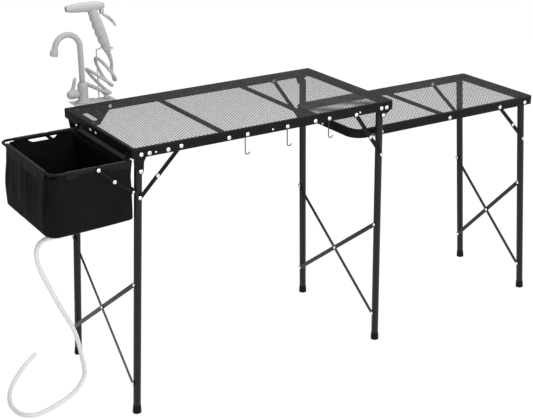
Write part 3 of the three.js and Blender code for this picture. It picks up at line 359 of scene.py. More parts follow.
def addStrap(bm, start, end, normal, width, thickness, edge=0.25):
    # A flat link with round ends.
    along = (end - start).normalized()
    across = normal.normalized().cross(along)
    half = width / 2 * mm
    points = []
    for centre, sign in ((start, -1), (end, 1)):
        for k in range(13):
            a = math.pi * (k / 12 - 0.5)
            points.append(centre + along * (sign * half * math.cos(a)) + across * (sign * half * math.sin(a)))
    addPlate(bm, points, normal, thickness, edge)


def addBlock(bm, low, high, edge=0.4):
    (x0, y0, z0), (x1, y1, z1) = low, high
    addPlate(bm, [at(x0, y0, z0), at(x1, y0, z0), at(x1, y1, z0), at(x0, y1, z0)], upward, z1 - z0, edge)


def addEar(bm, x, half, top, low, near, far, edge):
    # An upright plate with a round lower end, between two places in depth.
    points = [(x - half, low)] + arc(x, low, half, -157.5, -22.5, 6)
    points += [(x + half, low), (x + half, top), (x - half, top)]
    addPlate(bm, [at(px, near, pz) for px, pz in points], toBack, far - near, edge)


# Radius and height of each kind of rivet head.
rivetHeads = dict(
    rail=(6.2, 2.2), small=(3, 1.4), brace=(5.6, 2.2), knee=(5.5, 0.26),
    sinkRim=(5.5, 1.6), sinkKnee=(5.5, 1.3),
)
domeShares = [(1, 0), (1, 0.16), (0.95, 0.42), (0.82, 0.68), (0.6, 0.87), (0.32, 0.97), (0, 1)]


def addDome(bm, point, direction, kind="rail"):
    radius, height = rivetHeads[kind]
    addTurned(bm, [(0, 0)] + [(radius * r, height * h) for r, h in domeShares], point, direction, 20)


def catmullRom(points, steps):
    # Centripetal spline through the points, as the solids use.
    made = []
    for i in range(len(points) - 1):
        p1, p2 = points[i], points[i + 1]
        p0 = points[i - 1] if i > 0 else p1 * 2 - p2
        p3 = points[i + 2] if i + 2 < len(points) else p2 * 2 - p1
        t1 = (p1 - p0).length ** 0.5
        t2 = t1 + (p2 - p1).length ** 0.5
        t3 = t2 + (p3 - p2).length ** 0.5
        for k in range(steps):
            t = t1 + (t2 - t1) * k / steps
            a1 = p0 * ((t1 - t) / t1) + p1 * (t / t1)
            a2 = p1 * ((t2 - t) / (t2 - t1)) + p2 * ((t - t1) / (t2 - t1))
            a3 = p2 * ((t3 - t) / (t3 - t2)) + p3 * ((t - t2) / (t3 - t2))
            b1 = a1 * ((t2 - t) / t2) + a2 * (t / t2)
            b2 = a2 * ((t3 - t) / (t3 - t1)) + a3 * ((t - t1) / (t3 - t1))
            made.append(b1 * ((t2 - t) / (t2 - t1)) + b2 * ((t - t1) / (t2 - t1)))
    made.append(points[-1])
    return made


def lineLength(points):
    return sum((b - a).length for a, b in zip(points, points[1:]))


def hoseCurve(name, points, radius, material, node):
    curve = bpy.data.curves.new(name, "CURVE")
    curve.dimensions = "3D"
    curve.bevel_depth = radius * mm
    curve.bevel_resolution = 5
    curve.use_fill_caps = True
    spline = curve.splines.new("POLY")
    spline.points.add(len(points) - 1)
    for spot, point in zip(spline.points, points):
        spot.co = (*point, 1)
    spline.use_smooth = True
    curve.materials.append(materials[material])
    piece = bpy.data.objects.new(name, curve)
    bpy.context.scene.collection.objects.link(piece)
    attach(piece, "main_table")
    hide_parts(node)
    return piece


# The hoses come first of all pieces.
drainHose = dict(radius=6.5, points=[
    (-115, 192, 560.6), (-115, 192, 541), (-120, 193, 529), (-135, 195, 519), (-160, 199, 516),
    (-184, 202, 514), (-203, 204, 503), (-212, 207, 480), (-208, 212, 440), (-195, 219, 400),
    (-174, 231, 352), (-150, 246, 298), (-124, 263, 244), (-99, 282, 196), (-79, 299, 150), (-64, 314, 98),
    (-54, 325, 52), (-50, 322, 20), (-60, 296, 7), (-79, 266, 7), (-102, 238, 7), (-132, 210, 7),
    (-168, 186, 7), (-208, 167, 7), (-250, 153, 7), (-284, 153, 7), (-306, 172, 7), (-316, 204, 7),
    (-315, 244, 7), (-303, 288, 7), (-280, 334, 7), (-252, 376, 7), (-221, 416, 7), (-186, 454, 7),
    (-143, 495, 7),
])
drainRoute = catmullRom([at(*p) for p in drainHose["points"]], 8)
drainPiece = hoseCurve("drain_hose_vinyl", drainRoute, drainHose["radius"], "extrudedVinyl", "drain_hose")

# It leaves its foot on the shelf, swings from end to end in five half coils and rises to the handle.
sprayHose = dict(
    radius=4.8, depth=38, half=12,
    foot=[
        (151, 490, 801), (150, 491, 809), (146, 499, 817), (135, 512, 826), (118, 521, 836), (103, 521, 844),
    ],
    ends=[
        (96, 512, 847), (159, 490, 818), (104, 512, 891), (167, 490, 839), (136, 512, 921), (178, 490, 854),
    ],
    rise=[(180, 508, 882), (176, 497, 906), (170, 491, 922), (166.5, 490, 933)],
)


def sprayHoseRoute():
    points = [Vector(p) for p in sprayHose["foot"]]
    half = sprayHose["half"]
    for k, (a, b) in enumerate(zip(sprayHose["ends"], sprayHose["ends"][1:])):
        back = -1 if k % 2 == 0 else 1
        for i in range(0 if k == 0 else 1, half + 1):
            share = (1 - math.cos(i / half * math.pi)) / 2
            point = Vector(a).lerp(Vector(b), share)
            point.y += back * sprayHose["depth"] * math.sin(i / half * math.pi)
            points.append(point)
    points += [Vector(p) for p in sprayHose["rise"]]
    return catmullRom([at(*p) for p in points], 3)


sprayRoute = sprayHoseRoute()
sprayPiece = hoseCurve("sprayer_hose_coil", sprayRoute, sprayHose["radius"], "mouldedABS", "sprayer_hose")


def cuff(name, route, radii, length, material):
    # A tapered sleeve over the start of a hose, where it leaves its fitting.
    points, far = [route[0]], 0
    for a, b in zip(route, route[1:]):
        far += (b - a).length / mm
        points.append(b)
        if far >= length:
            break
    bm = bmesh.new()
    count = len(points) - 1
    addTube(bm, points, [radii[0] + (radii[1] - radii[0]) * (i / count) ** 1.3 for i in range(count + 1)], 20)
    newPiece(bm, name, material, "main_table")


cuff("drain_hose_cuff", drainRoute, (8.3, 7.0), 16, "extrudedVinyl")
cuff("sprayer_hose_foot", sprayRoute, (8.5, 5.3), 22, "mouldedABS")
cuff("sprayer_hose_neck", sprayRoute[::-1], (6.6, 5.1), 18, "mouldedABS")
print("hoses: drain", round(lineLength(drainRoute), 3), "m, sprayer", round(lineLength(sprayRoute), 3), "m")


# Each top is rolled steel angle round a wire mesh, in two halves that meet in the middle of its short ends.
railLook = dict(
    # (distance in from the outer face, height from the deck's top), all round the section of the angle
    section=[
        (0.3, -28), (0, -27.7), (0, -3.2), (0.25, -1.95), (0.9, -0.95), (1.85, -0.35), (3, -0.15),
        (4.1, -0.4), (4.9, -1.1), (5.3, -1.8), (11.7, -1.8), (12, -2.1), (12, -3), (11.7, -3.3), (2.6, -3.3),
        (1.9, -3.6), (1.5, -4.4), (1.5, -27.7), (1.2, -28),
    ],
    depth=28, tightest=1.2, seamShare=0.556, seamGap=0.3, cornerSteps=10, rivetLine=19,
)
splice = dict(half=32, pitch=38, plate=1.3, gap=1.8, low=25, high=6.3)


def seamOf(deck):
    return deck["front"] + (deck["back"] - deck["front"]) * railLook["seamShare"]


def cornerPoint(deck, isRight, side, share, inward):
    # A point of the outline that lies a distance inside the rail's face, on the arc of one corner;
    # share goes from 0 on the long side to 1 on the short side.
    radius = max(deck["right" if isRight else "left"] - inward, railLook["tightest"])
    cornerX, out = (deck["end"], 1) if isRight else (deck["start"], -1)
    turn = math.pi / 2 * share
    return (
        cornerX - out * (inward + radius - radius * math.sin(turn)),
        faceOf(deck, side) - side["out"] * (inward + radius - radius * math.cos(turn)),
    )


def railHalf(deck, side):
    seam = seamOf(deck) + railLook["seamGap"] / 2 * side["out"]
    height, section = deck["height"], railLook["section"]
    shares = [k / railLook["cornerSteps"] for k in range(railLook["cornerSteps"] + 1)]
    rings = [[at(deck["start"] + u, seam, height + z) for u, z in section]]
    for isRight, run in ((False, shares[::-1]), (True, shares)):
        for share in run:
            rings.append([at(*cornerPoint(deck, isRight, side, share, u), height + z) for u, z in section])
    rings.append([at(deck["end"] - u, seam, height + z) for u, z in section])
    return rings


def insideDeck(deck, margin, x, y):
    x0, x1 = deck["start"] + margin, deck["end"] - margin
    y0, y1 = deck["front"] + margin, deck["back"] - margin
    if not (x0 <= x <= x1 and y0 <= y <= y1):
        return False
    radius = max((deck["left"] if x < (x0 + x1) / 2 else deck["right"]) - margin, 0.1)
    dx = max(x0 + radius - x, x - (x1 - radius), 0)
    dy = max(y0 + radius - y, y - (y1 - radius), 0)
    return dx * dx + dy * dy <= radius * radius


# Diamonds of steel strand, 11.5 mm deep as in the photograph. They are 6.1 mm wide there, which wouldn't
# show, so they are drawn twice as wide, and the share that is open stays about the same.
wireMesh = dict(
    pitchX=12.2, pitchY=11.5, radius=0.62, margin=3.4, levels=(-0.98, -0.64), samples=400, halvings=12,
)


def meshLines(deck, slope):
    # Both ends of every wire that leans one way, where it reaches the rails.
    margin, pitch, samples = wireMesh["margin"], wireMesh["pitchX"], wireMesh["samples"]
    way = Vector((pitch, wireMesh["pitchY"] * slope)).normalized()
    depth = deck["back"] - deck["front"]
    shift = depth * pitch / wireMesh["pitchY"]
    reach = slope * depth / abs(way.y)
    lines = []
    for i in range(int((deck["end"] - deck["start"] + shift) / pitch) + 2):
        # each wire starts where it would meet the line along the front edge
        base = Vector((deck["start"] + i * pitch - (shift if slope > 0 else 0), deck["front"]))
        inside = [
            k for k in range(samples + 1) if insideDeck(deck, margin, *(base + way * (reach * k / samples)))
        ]
        if len(inside) < 3:
            continue
        ends = []
        for good, bad in ((inside[0], inside[0] - 1), (inside[-1], inside[-1] + 1)):
            a, b = good / samples, max(min(bad / samples, 1), 0)
            for _ in range(wireMesh["halvings"]):
                half = (a + b) / 2
                a, b = (half, b) if insideDeck(deck, margin, *(base + way * (reach * half))) else (a, half)
            ends.append(base + way * (reach * a))
        lines.append(ends)
    return lines


def meshPanel(deckName):
    deck = decks[deckName]
    bm = bmesh.new()
    for slope, level in zip((1, -1), wireMesh["levels"]):
        z = deck["height"] + level
        for a, b in meshLines(deck, slope):
            addTube(bm, [at(a.x, a.y, z), at(b.x, b.y, z)], wireMesh["radius"], 6)
    body = tops[deckName]["body"]
    # the wires take the black coat drawn dark grey, a painted sheen
    newPiece(bm, f"{deckName}_wire_mesh", "meshWirePaintedSheen", body, [f"{deckName}_mesh"], sharp=70)


# Rail and small rivets stand at shares of a rail's length.
tops = {
    "main": dict(
        body="main_table",
        rail=dict(
            front=[0.03, 0.058, 0.123, 0.341, 0.41, 0.563, 0.6737, 0.73, 0.948, 0.97],
            back=[0.341, 0.41, 0.563, 0.6737, 0.73, 0.948, 0.97],
        ),
        small=dict(front=[0.08, 0.506, 0.857], back=[]),
    ),
    "side": dict(
        body="side_table", rail=dict(front=[0.14, 0.513], back=[0.14, 0.513]), small=dict(front=[], back=[]),
    ),
}
# Legs: X at the floor and at the deck's height, with their insets from the rails' faces there.
legs = {
    "left": dict(deck="main", footX=-17.5, topX=27, footInset=19.6, topInset=20, pivot=733.6, rise=10),
    "right": dict(deck="main", footX=834, topX=828, footInset=19.6, topInset=22, pivot=758.6, rise=10),
    "side": dict(deck="side", footX=1505, topX=1449, footInset=14, topInset=19.6, pivot=688, rise=8),
}
# Struts: their top rivet, the height where they meet the leg, and the length of the upper link.
struts = {
    "left": dict(top=(146, 784), leg=657.6, upper=102),
    "right": dict(top=(728, 776), leg=633, upper=98),
    "side": dict(top=(1342, 688.5), leg=560, upper=97),
}
strutLook = dict(
    width=12.6, edge=0.2, pin=3, pinLength=2.1,
    # sections of the rivet's flat end behind the rail and of its head on the leg
    tail=[(0, 0), (5.5, 0), (5.5, 0.5), (4.6, 0.8), (0, 0.8)],
    head=[(0, 0), (5.5, 0), (5.5, 0.35), (4.9, 0.75), (3, 1.0), (0, 1.05)],
)
# How far inside a rail's face each flat part lies, and how thick it is.
layers = dict(hanger=1.3, upper=2.9, head=4.2, lower=5.3)
thick = dict(plate=1.3, link=1.0)


def legAt(leg, z):
    share = z / decks[leg["deck"]]["height"]
    x = leg["footX"] + (leg["topX"] - leg["footX"]) * share
    return x, leg["footInset"] + (leg["topInset"] - leg["footInset"]) * share


def legSpot(leg, side, z):
    x, inset = legAt(leg, z)
    return Vector((x, faceOf(decks[leg["deck"]], side) - side["out"] * inset, z))


def leanOf(leg):
    return math.atan2(legAt(leg, leg["pivot"])[0] - leg["footX"], leg["pivot"])


def leftOf(leg):
    # The way to the left, square to the leg's axis.
    lean = leanOf(leg)
    return Vector((-math.cos(lean), 0, math.sin(lean)))


def besideLeg(leg, side, z, outX):
    # A point at a height on a leg's axis, moved square to the axis by outX (negative is to the left).
    spot = legSpot(leg, side, z)
    lean = leanOf(leg)
    return at(spot.x + outX * math.cos(lean), spot.y, spot.z - outX * math.sin(lean))


def strutSpots(name):
    strut = struts[name]
    top = Vector(strut["top"])
    foot = Vector((legAt(legs[name], strut["leg"])[0], strut["leg"]))
    return top, top.lerp(foot, strut["upper"] / (foot - top).length), foot


def onLayer(deck, side, spot, layer):
    return at(spot[0], faceOf(deck, side) - side["out"] * layer, spot[1])


def outwardOf(side):
    return toBack * side["out"]


# Plates behind the rails that carry the legs, from a left to a right edge.
hangers = {
    "main": [("left", 9, 41.3), ("right", 815.1, 856)],
    "side": [("side", 1439.5, 1474)],
}
hangerLook = dict(drop=3.5, ear=8.5)


def addHanger(bm, deck, side, points):
    outline = [onLayer(deck, side, spot, layers["hanger"]) for spot in points]
    addPlate(bm, outline, -outwardOf(side), thick["plate"])


def legPlatePoints(name, side, leftEdge, rightEdge):
    leg = legs[name]
    height, pivot = decks[leg["deck"]]["height"], leg["pivot"]
    x = legAt(leg, pivot)[0]
    top = height - hangerLook["drop"]
    shoulder = max(height - railLook["depth"], pivot + 4)
    isLeft = name == "left"
    wing = []
    if isLeft and side["out"] < 0:
        wing = [(leftEdge - 5.5, shoulder - 1.5), (leftEdge - 5.5, shoulder - 18)]
    waist = [(x + 10.5, shoulder - 13)] if isLeft else []
    lower = wing + arc(x, pivot, hangerLook["ear"], 180, 360, 8) + waist
    return [(leftEdge, top), (leftEdge, shoulder)] + lower + [(rightEdge, shoulder), (rightEdge, top)]


def strutPlatePoints(name):
    x, z = struts[name]["top"]
    top = decks[legs[name]["deck"]]["height"] - hangerLook["drop"]
    return [
        (x - 10, top), (x - 10, z - 4), (x - 6.5, z - 8), (x + 6.5, z - 8), (x + 10, z - 4), (x + 10, top),
    ]


def addClip(bm, side):
    # The sink's rod hangs in this plate at the end of a rail.
    y = clip[side["key"]]
    outline = [at(x, y - clip["width"] / 2, z) for x, z in clip["outline"]]
    addPlate(bm, outline, toBack, clip["width"])


clip = dict(
    front=30, back=354, width=3,
    outline=[(-10.5, 757), (-8, 755.5), (0.2, 755.5), (0.2, 784), (-3, 783), (-7.5, 773), (-10.5, 765)],
)
# Bolts on the right legs that the side table's hooks hang over; the hooks stand off its rails.
boltPlace = dict(x=828.85, z=686, hookStand=4.7)


def addBoltHook(bm, side):
    face = faceOf(decks["side"], side)
    x, z = boltPlace["x"], boltPlace["z"]
    outer = face + side["out"] * boltPlace["hookStand"]
    outline = [
        (x - 4, z + 4.3), (x + 6, z + 4.3), (x + 8.6, z + 2.4), (x + 9, z), (x + 9, z - 6), (x + 19, z - 6),
        (x + 19, z + 12), (x + 17, z + 14), (x - 2, z + 14), (x - 4, z + 12),
    ]
    points = [at(px, outer, pz) for px, pz in outline]
    inward = -outwardOf(side)
    addRings(bm, [points, [p + inward * (thick["plate"] * mm) for p in points]])
    y0, y1 = sorted((outer - side["out"] * 1.2, face - side["out"] * 0.4))
    addBlock(bm, (x + 9, y0, z - 6), (x + 19, y1, z + 14))


def makeTop(deckName):
    deck, top = decks[deckName], tops[deckName]
    rivetHeight = deck["height"] - railLook["rivetLine"]
    seam = seamOf(deck)
    shiny = bmesh.new()
    for side in sides:
        bm = bmesh.new()
        addRings(bm, railHalf(deck, side))
        for legName, leftEdge, rightEdge in hangers[deckName]:
            addHanger(bm, deck, side, legPlatePoints(legName, side, leftEdge, rightEdge))
            addHanger(bm, deck, side, strutPlatePoints(legName))
            spot = struts[legName]["top"]
            addDome(shiny, onLayer(deck, side, spot, 0), outwardOf(side))
            behind = onLayer(deck, side, spot, layers["head"])
            addTurned(shiny, strutLook["tail"], behind, -outwardOf(side), 20)
        for face, inward in ((deck["start"], 1), (deck["end"], -1)):
            addDome(shiny, at(face, seam + splice["pitch"] / 2 * side["out"], rivetHeight), toRight * -inward)
            if side["key"] == "front":
                x0 = face + inward * splice["gap"]
                x0, x1 = sorted((x0, x0 + inward * splice["plate"]))
                addBlock(
                    bm, (x0, seam - splice["half"], deck["height"] - splice["low"]),
                    (x1, seam + splice["half"], deck["height"] - splice["high"]),
                )
        if deckName == "main":
            addClip(bm, side)
        else:
            addBoltHook(bm, side)
        key = side["key"]
        for kind in ("rail", "small"):
            for share in top[kind][key]:
                x = deck["start"] + share * (deck["end"] - deck["start"])
                addDome(shiny, onLayer(deck, side, (x, rivetHeight), 0), outwardOf(side), kind)
        newPiece(bm, f"{deckName}_angle_{key}", "powderCoatedSteel", top["body"], [f"{deckName}_{key}_rail"])
    newPiece(shiny, f"{deckName}_rail_rivets", "nickelPlatedSteel", top["body"])
    meshPanel(deckName)


for deckName in decks:
    makeTop(deckName)

# Square tube under each mesh, with its corners rounded.
crossTube = dict(half=5, round=1.5, drop=3.6, gap=1.8)
crossTubes = {
    "main": dict(places=(288.33, 576.67), nodes=["main_crossbar_left", "main_crossbar_right"]),
    "side": dict(places=(1112.6,), nodes=["side_crossbar"]),
}


def crossbars(deckName):
    deck, bars = decks[deckName], crossTubes[deckName]
    bm = bmesh.new()
    middle = deck["height"] - crossTube["drop"] - crossTube["half"]
    flat = crossTube["half"] - crossTube["round"]
    for x in bars["places"]:
        ring = []
        for cx, cz, start in ((flat, flat, 0), (-flat, flat, 90), (-flat, -flat, 180), (flat, -flat, 270)):
            ring += arc(x + cx, middle + cz, crossTube["round"], start, start + 90, 3)
        ends = (deck["front"] + crossTube["gap"], deck["back"] - crossTube["gap"])
        addRings(bm, [[at(px, y, pz) for px, pz in ring] for y in ends])
    newPiece(bm, f"{deckName}_cross_tubes", "powderCoatedSteel", tops[deckName]["body"], bars["nodes"])


for deckName in crossTubes:
    crossbars(deckName)
print("tops are ready")


tube = dict(radius=11, wall=1.2, low=4.6, soft=0.3)
footShape = [
    (0, 0), (10.6, 0), (12.1, 0.5), (12.75, 1.8), (12.8, 4), (12.6, 9), (12.2, 15), (11.9, 20), (11.8, 23.6),
    (11.6, 24.6), (11.3, 25), (11.3, 4), (0, 4),
]
brace = dict(upper=401, lower=95, width=13.6, gap=0.3)
legPin = dict(radius=3, short=2)


def legPiece(name):
    leg = legs[name]
    deck = decks[leg["deck"]]
    body = f"{name}_legs"
    bm, rubber, shiny = bmesh.new(), bmesh.new(), bmesh.new()
    outer, inner, soft = tube["radius"], tube["radius"] - tube["wall"], tube["soft"]
    for side in sides:
        start = at(*legSpot(leg, side, tube["low"]))
        way = at(*legSpot(leg, side, leg["pivot"] + leg["rise"])) - start
        length = way.length / mm
        addTurned(
            bm, [
                (inner, soft), (inner + soft, 0), (outer - soft, 0), (outer, soft), (outer, length - soft),
                (outer - soft, length), (inner + soft, length), (inner, length - soft),
            ], start, way, 36, closed=True,
        )
        # The foot is turned round the leg's axis, then pressed flat on the floor.
        before = len(rubber.verts)
        addTurned(rubber, footShape, at(*legSpot(leg, side, -1.2)), way, 32)
        rubber.verts.ensure_lookup_table()
        for vert in rubber.verts[before:]:
            vert.co.z = max(vert.co.z, 0.0)
        # The pivot rivet and the strut's rivet each have a shank in the tube.
        outward = outwardOf(side)
        isBehind = leg["pivot"] > deck["height"] - railLook["depth"]
        layer = (0 if isBehind else layers["hanger"]) - 0.3
        x, inset = legAt(leg, leg["pivot"])
        head = onLayer(deck, side, (x, leg["pivot"]), layer)
        addDome(shiny, head, outward)
        addPin(shiny, head, -outward, legPin["radius"], inset - layer - legPin["short"])
        layer = layers["head"] + 0.8
        x, inset = legAt(leg, struts[name]["leg"])
        head = onLayer(deck, side, (x, struts[name]["leg"]), layer)
        addTurned(shiny, strutLook["head"], head, outward, 20)
        addPin(shiny, head, -outward, legPin["radius"], inset - layer - legPin["short"])
    for made, piece, material, node in (
        (bm, "leg_tubes", "powderCoatedTube", "leg"), (rubber, "rubber_feet", "mouldedRubber", "foot"),
    ):
        nodes = [f"{name}_{node}_{end}" for end in ("front", "rear")]
        newPiece(made, f"{name}_{piece}", material, body, nodes)
    bars = bmesh.new()
    front, back = sides
    left = leftOf(leg)
    first = -tube["radius"] - brace["gap"]
    second = first - thick["plate"] - brace["gap"]
    for low, high, outX in ((back, front, first), (front, back, second)):
        start, end = besideLeg(leg, low, brace["lower"], outX), besideLeg(leg, high, brace["upper"], outX)
        addStrap(bars, start, end, left, brace["width"], thick["plate"])
    newPiece(bars, f"{name}_brace_bars", "powderCoatedTube", body, [f"{name}_leg_brace"])
    for low, high, outX in ((back, front, first), (front, back, second)):
        for side, z in ((high, brace["upper"]), (low, brace["lower"])):
            addDome(shiny, besideLeg(leg, side, z, outX - thick["plate"]), left, "brace")
    crossing = (brace["upper"] + brace["lower"]) / 2
    middle = (besideLeg(leg, front, crossing, second) + besideLeg(leg, back, crossing, second)) / 2
    addDome(shiny, middle + left * (thick["plate"] * mm), left, "brace")
    if name == "left":
        tieBar(shiny)
    newPiece(shiny, f"{name}_leg_rivets", "nickelPlatedSteel", body)


# The sink's two long walls: the way out and the place of each.
sinkSides = ((-1, 12), (1, 372))
sinkStrut = dict(
    rim=Vector((-95, 757)), knee=Vector((-51, 716)), foot=Vector((1.5, 677)),
    width=10, upper=2.9, lower=1.6, head=4.2, pin=2.1,
)
tie = dict(width=12, front=18, earX=5.6, earZ=5.8, head=[(0, 0), (3.4, 0), (3.4, 0.5), (2.7, 0.9), (0, 1.0)])


def tieBar(shiny):
    # Flat bar across the left legs behind the sink, with an ear at each end that carries the sink's strut.
    leg = legs["left"]
    left = leftOf(leg)
    x, z = sinkStrut["foot"]
    bm = bmesh.new()
    outX = -tube["radius"] - brace["gap"]
    rear = besideLeg(leg, sides[1], z, outX)
    front = rear.copy()
    front.y = at(0, tie["front"], 0).y
    addStrap(bm, front, rear, left, tie["width"], thick["plate"])
    for out, y in sinkSides:
        y0 = y if out < 0 else y - thick["plate"]
        points = [at(x + 5.4, y0, z - 6.4), at(x + 7.3, y0, z + 5.6)]
        points += [at(x + tie["earX"] * u, y0, z + tie["earZ"] * w) for u, w in arc(0, 0, 1, 90, 270, 8)]
        addPlate(bm, points, toBack, thick["plate"])
        addTurned(shiny, tie["head"], at(x, y + out * sinkStrut["head"], z), toBack * out, 16)
        addPin(shiny, at(x, y + out * 4.25, z), toBack * -out, sinkStrut["pin"], 4.6, 12)
    newPiece(bm, "left_tie_flat", "powderCoatedSteel", "left_legs", ["left_tie_bar"])
    for side in sides:
        addDome(shiny, besideLeg(leg, side, z, outX - thick["plate"]), left, "brace")


for name in legs:
    legPiece(name)


def foldingStrut(name):
    deck = decks[legs[name]["deck"]]
    top, knee, foot = strutSpots(name)
    for key, end in (("upper", top), ("lower", foot)):
        body = f"{name}_strut_{key}"
        bm = bmesh.new()
        for side in sides:
            start, stop = (onLayer(deck, side, spot, layers[key]) for spot in (end, knee))
            addStrap(
                bm, start, stop, -outwardOf(side), strutLook["width"], thick["link"], strutLook["edge"],
            )
        newPiece(bm, f"{name}_link_{key}", "powderCoatedSteel", body, [f"{body}_front", f"{body}_rear"])
        if key == "upper":
            shiny = bmesh.new()
            for side in sides:
                head = onLayer(deck, side, knee, layers["upper"])
                addDome(shiny, head, outwardOf(side), "knee")
                addPin(shiny, head, -outwardOf(side), strutLook["pin"], strutLook["pinLength"])
            newPiece(shiny, f"{name}_knee_rivets", "nickelPlatedSteel", body)


for name in struts:
    foldingStrut(name)


def tableBolts():
    # Shoulder bolts on the right legs that the side table hooks over.
    z = boltPlace["z"]
    x, inset = legAt(legs["right"], z)
    bm = bmesh.new()
    for side in sides:
        out = side["out"]
        start = faceOf(decks["main"], side) - out * (inset + tube["radius"] + 0.2)
        hookFace = faceOf(decks["side"], side) + out * boltPlace["hookStand"]
        collar = abs(start - (hookFace + out * 0.6))
        grip = abs(start - (hookFace - out * 1.9))
        addTurned(
            bm, [
                (0, 0), (5.6, 0), (6.5, 0.8), (6.5, collar - 0.6), (5.9, collar), (4, collar), (4, grip),
                (6.2, grip), (6.5, grip + 0.4), (6.1, grip + 1.4), (4.6, grip + 1.8), (0, grip + 1.8),
            ], at(x, start, z), -outwardOf(side), 24,
        )
    nodes = ["side_table_bolt_front", "side_table_bolt_rear"]
    newPiece(bm, "side_table_bolts", "nickelPlatedSteel", "right_legs", nodes)


tableBolts()
print("legs are ready")

hook = dict(
    x=dict(left=344.27, middle=483.54, right=626.26), z=777, wire=1.5, drop=53, bend=7, out=-3, turn=2,
    washer=[(0, 0), (4.3, 0), (4.5, 0.2), (4.5, 0.6), (4.3, 0.8), (0, 0.8)],
)


def hookWire(name):
    x, z, turn = hook["x"][name], hook["z"], hook["turn"]
    bm = bmesh.new()
    # in through the rail, over its edge and down, then round the bend
    points = [(x, 1.9, z)]
    points += [(x, y, height) for y, height in arc(hook["out"] + turn, z - turn, turn, 90, 180, 6)]
    low = z - hook["drop"] + hook["bend"]
    points += [(px, hook["out"], pz) for px, pz in arc(x + hook["bend"], low, hook["bend"], 180, 351, 16)]
    addTube(bm, [at(*p) for p in points], hook["wire"], 10)
    addTurned(bm, hook["washer"], at(x, 1.8, z), toBack, 20)
    newPiece(bm, f"hook_wire_{name}", "dippedWire", f"hook_{name}", [f"hook_{name}"], sharp=50)


for name in hook["x"]:
    hookWire(name)

cornerLook = dict(
    x=3, y=459, wide=122, deep=204, low=794.9, high=796.4,
    outline=[(0, 1), (0.22, 0.93), (0.9, 0.33), (1, 0), (0.16, 0), (0, 0.1)],
    slot=arc(34, 315, 9, 180, 360, 12) + arc(34, 405, 9, 0, 180, 12),
    screws=[(29, 434), (98, 440), (75, 391), (67, 360), (16, 288)],
    nut=[(0, 0), (4.6, 0), (4.6, 1.6), (4.1, 2.2), (0, 2.4)],
    screwEnd=[(0, 0), (3.4, 0), (3.2, 0.5), (0, 0.9)],
)


def cornerPlate():
    bm = bmesh.new()
    x0, y0, wide, deep = (cornerLook[key] for key in ("x", "y", "wide", "deep"))
    outline = [(x0 + a * wide, y0 - b * deep) for a, b in cornerLook["outline"]]
    faces = []
    for z in (cornerLook["low"], cornerLook["high"]):
        rings = [[bm.verts.new(at(x, y, z)) for x, y in shape] for shape in (outline, cornerLook["slot"])]
        edges = [bm.edges.new(pair) for ring in rings for pair in zip(ring, ring[1:] + ring[:1])]
        bmesh.ops.triangle_fill(bm, use_beauty=True, use_dissolve=False, edges=edges)
        faces.append(rings)
    for a, b in zip(*faces):
        for i in range(len(a)):
            j = (i + 1) % len(a)
            bm.faces.new((a[i], a[j], b[j], b[i]))
    newPiece(bm, "corner_plate_slotted", "powderCoatedSteel", "main_table", ["corner_plate"])
    shiny = bmesh.new()
    for x, y in cornerLook["screws"]:
        addTurned(shiny, cornerLook["nut"], at(x, y, cornerLook["low"]), -upward, 20)
        addTurned(shiny, cornerLook["screwEnd"], at(x, y, cornerLook["high"]), upward, 16)
    newPiece(shiny, "corner_plate_screws", "nickelPlatedSteel", "main_table")


# Sheet with an apron that is bent down behind the rail, and a step at its right end.
shelfLook = dict(left=38, right=120, stepLow=(120, 462.6, 798), stepHigh=(170, 508, 800), section=[
    (462.3, 776), (464.3, 776), (464.3, 797.2), (465.0, 797.9), (516.0, 797.9), (516.3, 798.3),
    (516.3, 799.7), (516.0, 800), (463.3, 800), (462.5, 799.6), (462.3, 798.8),
])


def tapShelf():
    bm = bmesh.new()
    ends = (shelfLook["left"], shelfLook["right"])
    addRings(bm, [[at(x, y, z) for y, z in shelfLook["section"]] for x in ends])
    addBlock(bm, shelfLook["stepLow"], shelfLook["stepHigh"])
    newPiece(bm, "tap_shelf_plate", "mouldedABS", "main_table", ["tap_shelf"])


cornerPlate()
tapShelf()

sink = dict(left=-230, right=-5, front=12, back=372, z=762, rod=4, bagRight=-13, top=757.7, low=579.7, wall=2)
# The rod's two bends: the front one is wide, the back one draws the corner out.
rimLook = dict(frontEnd=3.4, frontBend=35, backBend=27, backOut=(5, 4), earEdge=0.2)


def bentCorner(a, b, c, radius, steps=8):
    into, out = (a - b).normalized(), (c - b).normalized()
    p, q = b + into * radius, b + out * radius
    shares = (k / steps for k in range(steps + 1))
    return [p * (1 - t) ** 2 + b * (2 * t * (1 - t)) + q * t * t for t in shares]


